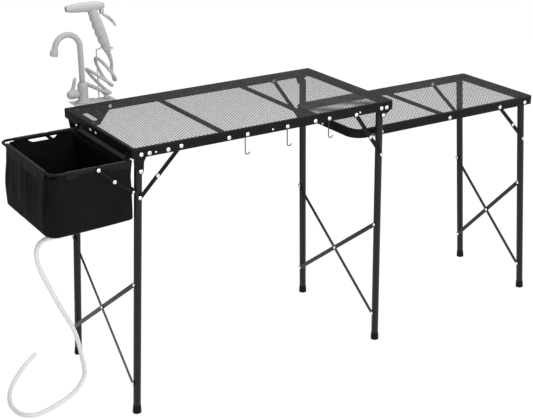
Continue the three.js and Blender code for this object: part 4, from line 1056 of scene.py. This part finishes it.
def sinkRim():
    z, rod, hinge = sink["z"], sink["rod"], sink["right"]
    x0, y0, y1 = sink["left"] + rod, sink["front"] + rod, sink["back"] - rod
    outX, outY = rimLook["backOut"]
    bm = bmesh.new()
    turns = ((rimLook["frontEnd"], y0), (x0, y0), (x0 - outX, y1 + outY), (hinge, y1))
    a, b, c, d = (Vector((x, y, z)) for x, y in turns)
    path = [a] + bentCorner(a, b, c, rimLook["frontBend"]) + bentCorner(b, c, d, rimLook["backBend"]) + [d]
    addTube(bm, [at(*p) for p in path], rod, 16)
    shaft = sink["back"] - sink["front"]
    addTurned(
        bm, [(0, 0), (3.6, 0), (rod, 0.4), (rod, shaft - 0.4), (3.6, shaft), (0, shaft)],
        at(hinge, sink["front"], z), toBack, 20,
    )
    # an ear on each side carries the upper strut
    x, low = sinkStrut["rim"]
    for out, y in sinkSides:
        near, far = sorted((y - out * 0.6, y + out * 2.6))
        addBlock(bm, (x - 5, near, z - 1), (x + 5, far, z + 2))
        near, far = sorted((y + out * 0.3, y + out * 2.6))
        addEar(bm, x, 5, z + 2, low, near, far, rimLook["earEdge"])
    newPiece(bm, "sink_rim_rod", "powderCoatedSteel", "basin", ["basin_rim"])
    shiny = bmesh.new()
    for out, y in sinkSides:
        head = at(x, y + out * sinkStrut["head"], low)
        addDome(shiny, head, toBack * out, "sinkRim")
        addPin(shiny, head, toBack * -out, sinkStrut["pin"], 2.4, 12)
    newPiece(shiny, "sink_rim_rivets", "nickelPlatedSteel", "basin")


# Flares widen the bag's floor to the left and right; the lobe is the front right corner's bulge; lift
# raises the floor's left and right ends; narrow is how deep the floor is against the top.
bagLook = dict(
    leftRadius=34, rightRadius=7, cornerSteps=8, longSteps=44, shortSteps=22, rows=26, bottomRadius=8,
    leftFlare=10, rightFlare=8, lobe=17, lift=(4, 15), narrow=0.94, belly=3.0, topInset=3.5,
    windows=(-152, -64), backWindow=12, frontWindow=2.5, hingeDip=3.6, cornerDip=9,
    drain=(-115, 192), drainRadius=20.2, sag=[0.1, 0.24, 0.4, 0.56, 0.72, 0.86, 0.95, 1.0],
)


def clamp(value, low=0, high=1):
    return min(max(value, low), high)


def bagOutline():
    # Points round the bag at its top with their outward ways, counter-clockwise from the left end.
    x0, x1, y0, y1 = sink["left"], sink["bagRight"], sink["front"], sink["back"]
    left, right = bagLook["leftRadius"], bagLook["rightRadius"]
    short, long = bagLook["shortSteps"], bagLook["longSteps"]
    spans = [
        (x0 + left, y0 + left, left, 180, short), (x1 - right, y0 + right, right, 270, long),
        (x1 - right, y1 - right, right, 0, short), (x0 + left, y1 - left, left, 90, long),
    ]
    made = []
    for index, (cx, cy, radius, start, run) in enumerate(spans):
        for k in range(bagLook["cornerSteps"] + 1):
            a = math.radians(start + 90 * k / bagLook["cornerSteps"])
            way = Vector((math.cos(a), math.sin(a), 0))
            made.append((Vector((cx, cy, 0)) + way * radius, way))
        nx, ny, nextRadius, _, _ = spans[(index + 1) % 4]
        here = made[-1][0]
        there = Vector((nx, ny, 0)) + way * nextRadius
        made += [(here.lerp(there, k / run), way) for k in range(1, run)]
    return made


def clothMove(point, down):
    # Soft creases: slow swells, upright rolls that die out towards the rod, and pulls at the corners.
    slow = noise.noise(Vector((point.x * 0.02, point.y * 0.02, down * 1.4))) * 2.6
    rolls = noise.noise(Vector((point.x * 0.055 + 7, point.y * 0.055, down * 0.8))) * 1.5
    pull = noise.noise(Vector((point.x * 0.03 + 3, point.y * 0.03 - 5, down * 5.0))) * 0.9
    calm = clamp((sink["bagRight"] - point.x - 4) / 25)
    return (slow + rolls + pull) * math.sin(math.pi * min(down * 0.85 + 0.1, 1)) ** 0.8 * calm


def topDip(point, way):
    # How far the top edge lies below the rod: at the struts' windows, the bare corners and beside the clips.
    low, high = bagLook["windows"]
    if abs(way.y) > 0.9:
        ramp = min((point.x - low) / 7, (high - point.x) / 7, 1)
        return (bagLook["backWindow"] if way.y > 0 else bagLook["frontWindow"]) * max(ramp, 0)
    if way.x > 0.9:
        return bagLook["hingeDip"]
    return bagLook["cornerDip"] * abs(way.x * way.y) * 2 if way.x < 0 else 0


def sinkBag():
    x0, x1, middleY = sink["left"], sink["bagRight"], (sink["front"] + sink["back"]) / 2
    drainSpot = Vector((*bagLook["drain"], 0))
    base = bagOutline()
    low, wall, bend = sink["low"], sink["wall"], bagLook["bottomRadius"]

    def ring(inside, down, up=None, tuck=0.0, toDrain=0.0):
        # inside: how far the ring lies within the outer face; down: from 0 at the rod to 1 at the floor.
        made = []
        for point, way in base:
            across = (point.x - x0) / (x1 - x0)
            # the front corner bulges past the clip towards the leg
            lobe = clamp((point.x + 55) / 42) ** 1.5 * clamp((26 - point.y) / 7)
            side = bagLook["rightFlare"] * down * across * (1 - lobe) - bagLook["leftFlare"] * (1 - across)
            fade = 1 - across ** 3 if point.y < middleY else 1
            place = Vector((
                point.x + down * side + lobe * (bagLook["lobe"] * (1 - 0.15 * down) + max(4 - 20 * down, 0)),
                middleY + (point.y - middleY) * (1 - down * (1 - bagLook["narrow"]) * fade), 0,
            ))
            belly = bagLook["belly"] * fade * math.sin(math.pi * clamp((down - 0.25) / 0.75)) ** 1.2
            place.y += 3 * lobe * min(down * 4, 1)
            topInset = bagLook["topInset"] * (1 - down) ** 3
            place += way * (belly + clothMove(point, down) - inside - tuck - topInset)
            if toDrain:
                spoke = (place - drainSpot).normalized()
                place = place.lerp(drainSpot + spoke * bagLook["drainRadius"], toDrain)
            height = up
            if up is None:
                top = sink["top"] - topDip(point, way)
                height = top - down * (top - (low + bend + inside))
            left, right = bagLook["lift"]
            height += (left + (right - left) * across ** 2) * down ** 2 * (1 - toDrain)
            made.append(at(place.x, place.y, height))
        return made

    rows, sag = bagLook["rows"], bagLook["sag"]
    turns = [math.pi / 2 * k / 5 for k in range(6)]
    rings = [ring(0, k / rows) for k in range(rows)]
    rounds = [(bend * (1 - math.sin(a)), bend * (1 - math.cos(a))) for a in turns]
    rings += [ring(0, 1, low + rise, tuck) for rise, tuck in rounds]
    rings += [ring(0, 1, low, bend, t) for t in sag]
    rings += [ring(0, 1, low + wall, bend, t) for t in sag[::-1]]
    rings += [ring(wall, 1, low + wall + rise, tuck * 0.9) for rise, tuck in rounds[::-1]]
    rings += [ring(wall, k / rows) for k in range(rows - 1, -1, -1)]
    rings.append(rings[0])
    bm = bmesh.new()
    addRings(bm, rings, capped=False)
    bag = newPiece(bm, "sink_bag", "calenderedCloth", "basin", ["basin_bag"], sharp=60)
    soften = bag.modifiers.new("soften", "SUBSURF")
    soften.levels = soften.render_levels = 1
    return bag


# The cloth turned over the rod. It stops short of the corners; at each strut's window it is only a short
# wrap, with a gap for the ear.
hemRuns = [
    ("front", -186, -150), ("front", -66, 2), ("back", -192, -152), ("back", -64, -14), ("left", 50, 330),
]
wrapRuns = [("front", -150, -101), ("front", -89, -66), ("back", -152, -101), ("back", -89, -64)]
hemLook = dict(
    front=dict(seed=3.1, reach=17, sway=0.8, swell=1.2), back=dict(seed=8.4, reach=17, sway=0.8, swell=1.2),
    left=dict(seed=5.2, reach=26, sway=2.6, swell=3.4),
    wrap=7.4, thick=1.2, radius=5.3, step=7, stitch=3.2, stitchPitch=4.6, thread=0.35, raised=0.25,
)


def hemPlace(key, along, u, w):
    # u is out of the sink from the rod's middle, w is up from it.
    if key == "front":
        return at(along, sink["front"] + sink["rod"] - u, sink["z"] + w)
    if key == "back":
        return at(along, sink["back"] - sink["rod"] + u, sink["z"] + w)
    return at(sink["left"] + sink["rod"] - u, along, sink["z"] + w)


def hemSection(wall, along, edge, isWrap):
    # One section across the hem: down its outer side, over the rod and down its inner side.
    spot = Vector((along * 0.045, wall["seed"], 0))
    wobble = noise.noise(spot) * 1.1
    sway = noise.noise(spot * 2.3 + Vector((0, 0, 4)))
    reach = hemLook["wrap"] if isWrap else wall["reach"]
    reach = reach * (0.72 + 0.28 * min(edge * 7, 1)) + sway * wall["sway"]
    swell = wall["swell"] * (0.5 + 0.5 * min(edge * 6, 1))
    outer = [
        (2.6 + swell * 0.9 + wobble, -reach), (3.2 + swell + wobble, -reach * 0.75),
        (3.8 + swell * 0.7 + wobble * 0.6, -reach * 0.48), (4.6 + swell * 0.2, -reach * 0.2),
    ]
    inner = [(-4.8, -3.5), (-4.0, -7.5), (-3.2, -12)]
    if isWrap:
        inner = [(-4.8, -2.5), (-4.6, -4.5), (-4.2, -6.5)]
    outside = outer + arc(0, 0, hemLook["radius"], 0, 180, 12) + inner
    inside = []
    for k, (u, w) in enumerate(outside):
        a, b = outside[max(k - 1, 0)], outside[min(k + 1, len(outside) - 1)]
        du, dw = b[0] - a[0], b[1] - a[1]
        size = math.hypot(du, dw)
        inside.append((u - dw / size * hemLook["thick"], w + du / size * hemLook["thick"]))
    return outside + inside[::-1]


def addStitches(bm, key, start, end, seam):
    # One row a little above the hem's lower edge.
    steps = len(seam) - 1
    for k in range(int((end - start - 4) / hemLook["stitchPitch"])):
        thread = []
        for share in (0, 0.5, 1):
            along = start + 2 + k * hemLook["stitchPitch"] + hemLook["stitch"] * share
            t = (along - start) / (end - start) * steps
            i = min(int(t), steps - 1)
            spot = seam[i].lerp(seam[i + 1], t - i)
            thread.append(hemPlace(key, along, spot.x + (hemLook["raised"] if share == 0.5 else 0), spot.y))
        addTube(bm, thread, hemLook["thread"], 5)


def addHem(bm, key, start, end, isWrap):
    steps = max(int((end - start) / hemLook["step"]), 5)
    rows, seam = [], []
    for i in range(steps + 1):
        along = start + (end - start) * i / steps
        section = hemSection(hemLook[key], along, min(i, steps - i) / steps, isWrap)
        rows.append([hemPlace(key, along, u, w) for u, w in section])
        seam.append(Vector((section[1][0] + hemLook["raised"], section[1][1])))
    addRings(bm, rows)
    if not isWrap:
        addStitches(bm, key, start, end, seam)


# A flap along the hinge shaft closes the gap up to the rail, with cloth wrapped round the shaft.
hingeFlap = dict(spans=((12.6, 27.6, 4), (33, 351, 40)), radius=5.2)


def addFlap(bm, start, end, steps):
    rows = []
    for i in range(steps + 1):
        along = start + (end - start) * i / steps
        sway = noise.noise(Vector((along * 0.03, 1.7, 2.2))) * 0.5
        lean = sway * 0.3
        outside = [(-6.9, -13), (-6.4, -7)] + arc(0, 0, hingeFlap["radius"], 180, 90, 5)
        outside += [(1.6, 6.4), (2.9 + lean, 12), (3.3 + lean, 19 + sway)]
        inside = [(4.3 + lean, 19 + sway), (3.9 + lean, 11.5), (3.6, 5.4), (4.9, 1.5), (4.6, -1.5)]
        inside += [(1.5, -4.6), (-1.5, -4.6), (-5.2, -7.5), (-5.7, -13)]
        rows.append([at(sink["right"] + u, along, sink["z"] + w) for u, w in outside + inside])
    addRings(bm, rows)


def sinkHem():
    bm = bmesh.new()
    for isWrap, runs in ((False, hemRuns), (True, wrapRuns)):
        for key, start, end in runs:
            addHem(bm, key, start, end, isWrap)
    for span in hingeFlap["spans"]:
        addFlap(bm, *span)
    newPiece(bm, "sink_hem", "stretchedCloth", "basin", sharp=60)


# The drain is clamped to the bag's floor between two flanges.
drainLook = dict(low=560.9, top=582.0)


def drainFitting():
    low, top = drainLook["low"], drainLook["top"]
    profile = [
        (5, low + 0.4), (5.4, low), (7.1, low), (7.5, low + 0.5), (7.5, low + 15.2), (8.4, low + 16),
        (24.8, low + 16), (26, low + 16.6), (26, low + 18), (25.4, low + 18.5), (19.4, low + 18.5),
        (19.4, top), (25.2, top), (26, top + 0.7), (25.6, top + 1.7), (23.8, top + 2.5), (17, top + 2.5),
        (14.5, top + 1.4), (5.8, top + 0.8), (5, top),
    ]
    bm = bmesh.new()
    addTurned(bm, profile, at(*bagLook["drain"], 0), upward, 40, closed=True)
    return newPiece(bm, "sink_drain", "mouldedRubber", "basin", ["basin_drain"])


def sinkStruts():
    knee = sinkStrut["knee"]
    for key, end in (("upper", sinkStrut["rim"]), ("lower", sinkStrut["foot"])):
        body = f"basin_strut_{key}"
        bm = bmesh.new()
        for out, y in sinkSides:
            depth = y + out * sinkStrut[key]
            addStrap(
                bm, at(end.x, depth, end.y), at(knee.x, depth, knee.y), toBack * out, sinkStrut["width"],
                thick["link"], strutLook["edge"],
            )
        newPiece(bm, f"sink_link_{key}", "powderCoatedSteel", body, [f"{body}_front", f"{body}_rear"])
        if key == "upper":
            shiny = bmesh.new()
            for out, y in sinkSides:
                head = at(knee.x, y + out * (sinkStrut[key] + thick["link"]), knee.y)
                addDome(shiny, head, toBack * out, "sinkKnee")
                addPin(shiny, head, toBack * -out, 2, 2.2, 12)
            newPiece(shiny, "sink_knee_rivets", "nickelPlatedSteel", body)


sinkRim()
bag = sinkBag()
sinkHem()
drain = drainFitting()
sinkStruts()
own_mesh(bag)
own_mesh(drain)
print("sink is ready")

tap = dict(
    x=75, y=490, base=800.3, top=860.3, tilt=13, spout=8.6, bend=106, arcWide=39.5, arcHigh=42,
    leverUp=27, leverOut=15.8, bladeOut=29, mouth=9,
    column=[
        (0, 0), (21, 0), (22, 0.8), (22, 2.6), (21, 4.2), (18, 5.2), (16.2, 7), (15.5, 10), (15.5, 48),
        (15, 52), (13.8, 56), (12.6, 59), (11.8, 59.8), (0, 60),
    ],
    nozzle=[
        (0, 0), (9.6, 0), (11.4, 0.6), (12, 1.6), (12, 15.4), (11.5, 17), (10, 18), (8.4, 18), (8, 16.6),
        (0, 16.2),
    ],
    hub=[
        (0, 0), (12, 0), (12.6, 0.9), (13.2, 10), (13.6, 18), (13.4, 24), (12, 29), (9, 32.6), (5, 34.2),
        (0, 34.6),
    ],
    # height, lean, half width and half depth along the blade, and the shares of its rounded section
    blade=[
        (8, -7, 7.5, 10), (14, -3.6, 6.4, 6.4), (20, -1.2, 5.8, 4.9), (30, 1.8, 5.5, 4.6),
        (41, 4.6, 5.4, 4.5), (47, 6.2, 5.0, 4.2), (49.5, 6.8, 3.6, 2.8), (50, 6.9, 2.2, 1.5),
    ],
    bladeShares=[
        (-0.45, -1), (0.45, -1), (0.85, -0.85), (1, -0.5), (1, 0.5), (0.85, 0.85), (0.45, 1), (-0.45, 1),
        (-0.85, 0.85), (-1, 0.5), (-1, -0.5), (-0.85, -0.85),
    ],
)


def tapPieces():
    x, y, base = tap["x"], tap["y"], tap["base"]
    bm = bmesh.new()
    addTurned(bm, tap["column"], at(x, y, base), upward, 40)
    newPiece(bm, "tap_column", "mouldedABS", "main_table", ["tap_body"])
    bm = bmesh.new()
    low = tap["top"] + 0.3
    straight = tap["bend"] - 2
    path = [at(x, y, low), at(x, y, low + 0.8)] + [at(x, y, low + straight * k / 6) for k in range(1, 6)]
    tilt = math.radians(tap["tilt"])
    for k in range(33):
        a = (math.pi - tilt) * k / 32
        height = low + tap["bend"] + tap["arcHigh"] * math.sin(a)
        path.append(at(x - tap["arcWide"] + tap["arcWide"] * math.cos(a), y, height))
    down = Vector((-math.sin(tilt), 0, -math.cos(tilt)))
    mouth = path[-1] + down * (tap["mouth"] * mm)
    path += [path[-1] + down * (5 * mm), mouth]
    addTube(bm, path, [8.2] + [tap["spout"]] * (len(path) - 1), 24)
    newPiece(bm, "tap_spout_tube", "mouldedABS", "tap_spout", ["tap_spout"], sharp=50)
    bm = bmesh.new()
    addTurned(bm, tap["nozzle"], mouth - down * (0.5 * mm), down, 32)
    newPiece(bm, "tap_nozzle", "mouldedABS", "tap_spout", ["tap_aerator"])
    bm = bmesh.new()
    addTurned(bm, tap["hub"], at(x - tap["leverOut"], y, base + tap["leverUp"]), -toRight, 36)
    # the blade rises out of the hub, leans towards the tap and rounds off at its tip
    rings = []
    for z, lean, half, deep in tap["blade"]:
        middle = x - tap["bladeOut"] + lean
        height = base + tap["leverUp"] + z
        rings.append([at(middle + deep * sx, y + half * sy, height) for sx, sy in tap["bladeShares"]])
    addRings(bm, rings)
    newPiece(bm, "tap_handle", "mouldedABS", "tap_lever", ["tap_lever"], sharp=50)


# The handle and the head are turned from radii at even steps along them.
sprayer = dict(
    low=(166, 934), neck=(118, 1076), nose=38, tail=158, z=1083,
    handle=[6.4, 11.6, 14.4, 15.7, 16.2, 16.2, 15.7, 14.8, 13.4], head=[8.6, 12.4, 13.8, 14.2, 13.2, 7.5],
    gripPitch=24, gripDepth=1.7, earX=150, earLow=1061,
    trigger=[(150, 1061), (165, 1054), (178, 1044), (188, 1031), (194, 1018)],
    triggerShares=[(0, -0.8), (0.15, -1), (0.85, -1), (1, -0.8), (1, 0.8), (0.85, 1), (0.15, 1), (0, 0.8)],
)
# The wire stand is hidden behind the handle: a post with a loop on top.
stand = dict(x=128, y=495, top=953, ringX=158.5, ring=18.6, wire=1.9)


def smoothProfile(radii, length, steps=5):
    points = [Vector((r, i / (len(radii) - 1) * length, 0)) for i, r in enumerate(radii)]
    return [(p.x, p.y) for p in catmullRom(points, steps)]


def sprayerBody():
    y = tap["y"]
    bm = bmesh.new()
    low, neck = (at(sprayer[end][0], y, sprayer[end][1]) for end in ("low", "neck"))
    along = (neck - low).normalized()
    length = (neck - low).length / mm
    profile = [(0, 0), (4.6, 0)] + smoothProfile(sprayer["handle"], length) + [(0, length)]
    addTurned(bm, profile, low, neck - low, 36)
    # finger grips along the side that faces the nozzle
    front = along.cross(toBack).normalized()
    if front.x > 0:
        front.negate()
    for vert in bm.verts:
        far = (vert.co - low).dot(along) / mm
        side = max((vert.co - low - along * (far * mm)).dot(front) / mm / 17, 0)
        ease = clamp((far - 18) / 20) * clamp((length - 14 - far) / 14)
        wave = math.cos(2 * math.pi * far / sprayer["gripPitch"])
        vert.co += front * (sprayer["gripDepth"] * mm * side * ease * wave)
    length = sprayer["tail"] - sprayer["nose"]
    profile = [(0, 2.4), (7.4, 2.4), (7.8, 0)] + smoothProfile(sprayer["head"], length) + [(0, length)]
    addTurned(bm, profile, at(sprayer["nose"], y, sprayer["z"]), toRight, 36)
    for out in (-1, 1):
        near, far = sorted((y + out * 4.3, y + out * 6.3))
        addEar(bm, sprayer["earX"], 5, sprayer["z"], sprayer["earLow"], near, far, 0.4)
    newPiece(bm, "sprayer_handle", "mouldedABS", "main_table", ["sprayer_body"])


def sprayerTrigger():
    bm = bmesh.new()
    line = catmullRom([Vector((x, tap["y"], z)) for x, z in sprayer["trigger"]], 5)
    rings = []
    for i, spot in enumerate(line):
        way = (line[min(i + 1, len(line) - 1)] - line[max(i - 1, 0)]).normalized()
        inward = Vector((way.z, 0, -way.x))
        if inward.x > 0:
            inward.negate()
        swell = math.sin(math.pi * min(i / (len(line) - 1) * 1.15, 1)) ** 0.7
        half, deep = 4 + 3.4 * swell, 4.6 + 4.6 * swell
        shares = sprayer["triggerShares"]
        rings.append([at(*(spot + toBack * (half * sy) + inward * (deep * sx))) for sx, sy in shares])
    addRings(bm, rings)
    newPiece(bm, "sprayer_lever", "mouldedABS", "sprayer_trigger", ["sprayer_trigger"], sharp=50)


def sprayerStand():
    bm = bmesh.new()
    x, y, top = stand["x"], stand["y"], stand["top"]
    points = [(x, y, tap["base"]), (x, y, 900), (x, y, top - 2.5)]
    points += [(x + 0.3, y - 0.3, top - 0.7), (x + 1, y - 1.2, top)]
    points += [(px, py, top) for px, py in arc(stand["ringX"], tap["y"], stand["ring"], 171, -135, 36)]
    addTube(bm, [at(*p) for p in points], stand["wire"], 12)
    newPiece(bm, "sprayer_wire_stand", "mouldedABS", "main_table", ["sprayer_stand"], sharp=50)


tapPieces()
sprayerBody()
sprayerTrigger()
sprayerStand()
print("tap and sprayer are ready")


# White paper under and behind the table; the cards are what glossy rays see of the dark room behind it.
studioLook = dict(
    paper=(0.86, 0.86, 0.86, 1), paperGlow=1.04, whiteShare=0.93, paperCard=0.2,
    roomLight=0.55, roomWhite=1.0, roomCard=0.5, half=30, floor=-0.0006,
    lamps=[
        ("keyLight", (-0.6, -3.4, 1.9), (0, 0, 0.5), 1.3, 62),
        ("fillLight", (2.8, -1.6, 2.0), (0.2, 0, 0.5), 1.8, 20),
        ("topLight", (0.2, 0.6, 3.2), (0, 0, 0.5), 2.2, 42),
    ],
)


def whiteRays(tree):
    # 1 for the rays that should see the white background: those of the camera, of gloss and of glass.
    paths = addNode(tree, "ShaderNodeLightPath")
    white = paths.outputs["Is Camera Ray"]
    for kind in ("Is Glossy Ray", "Is Transmission Ray"):
        both = addNode(tree, "ShaderNodeMath", {"operation": "MAXIMUM"}, {0: white, 1: paths.outputs[kind]})
        white = both.outputs[0]
    return white


def darkBehind(tree, way, low, high):
    # A dark card behind the table, which only glossy rays see: 1 where it stands.
    # The walls that the camera sees at a flat angle would mirror the white paper without it.
    paths = addNode(tree, "ShaderNodeLightPath")
    parts = addNode(tree, "ShaderNodeSeparateXYZ", links={"Vector": way})
    share = addNode(
        tree, "ShaderNodeMapRange", {"From Min": low, "From Max": high}, {"Value": parts.outputs["Y"]},
    )
    card = addNode(
        tree, "ShaderNodeMath", {"operation": "MULTIPLY"},
        {0: share.outputs[0], 1: paths.outputs["Is Glossy Ray"]},
    )
    return card.outputs[0]


def makeFloor():
    # Matte white paper: it reads white to the camera and in reflections, and still takes a faint shadow.
    floor = bmesh.new()
    half = studioLook["half"]
    floor.faces.new([floor.verts.new((x, y, studioLook["floor"])) for x, y in (
        (-half, -half), (half, -half), (half, half), (-half, half),
    )])
    mesh = bpy.data.meshes.new("floor")
    floor.to_mesh(mesh)
    floor.free()
    ground = bpy.data.objects.new("floor", mesh)
    bpy.context.scene.collection.objects.link(ground)
    material, tree = newMaterial("paperSweep")
    plain = addNode(tree, "ShaderNodeBsdfDiffuse", {"Color": studioLook["paper"]})
    glow, card = (
        addNode(tree, "ShaderNodeEmission", {"Color": (1, 1, 1, 1), "Strength": studioLook[key]}).outputs[0]
        for key in ("paperGlow", "paperCard")
    )
    white = addNode(
        tree, "ShaderNodeMath", {"operation": "MULTIPLY", 1: studioLook["whiteShare"]}, {0: whiteRays(tree)},
    )
    way = addNode(tree, "ShaderNodeNewGeometry").outputs["Position"]
    paper = plain.outputs[0]
    for share, over in ((white.outputs[0], glow), (darkBehind(tree, way, 0.5, 0.8), card)):
        paper = addNode(tree, "ShaderNodeMixShader", links={0: share, 1: paper, 2: over}).outputs[0]
    addNode(tree, "ShaderNodeOutputMaterial", links={"Surface": paper})
    mesh.materials.append(material)


def makeRoom():
    world = bpy.data.worlds.new("studio")
    bpy.context.scene.world = world
    world.use_nodes = True
    tree = world.node_tree
    tree.nodes.clear()
    room, white, card = (
        addNode(tree, "ShaderNodeBackground", {"Color": (1, 1, 1, 1), "Strength": studioLook[key]}).outputs[0]
        for key in ("roomLight", "roomWhite", "roomCard")
    )
    way = addNode(tree, "ShaderNodeTexCoord").outputs["Generated"]
    for share, over in ((whiteRays(tree), white), (darkBehind(tree, way, 0.2, 0.6), card)):
        room = addNode(tree, "ShaderNodeMixShader", links={0: share, 1: room, 2: over}).outputs[0]
    addNode(tree, "ShaderNodeOutputWorld", links={"Surface": room})
    for name, place, aim, size, power in studioLook["lamps"]:
        data = bpy.data.lights.new(name, "AREA")
        data.shape = "DISK"
        data.size = size
        data.energy = power
        lamp = bpy.data.objects.new(name, data)
        bpy.context.scene.collection.objects.link(lamp)
        lamp.location = place
        lamp.rotation_euler = (Vector(place) - Vector(aim)).to_track_quat("Z", "Y").to_euler()


bpy.context.scene.view_settings.view_transform = "Standard"
makeFloor()
makeRoom()
print("studio is ready")
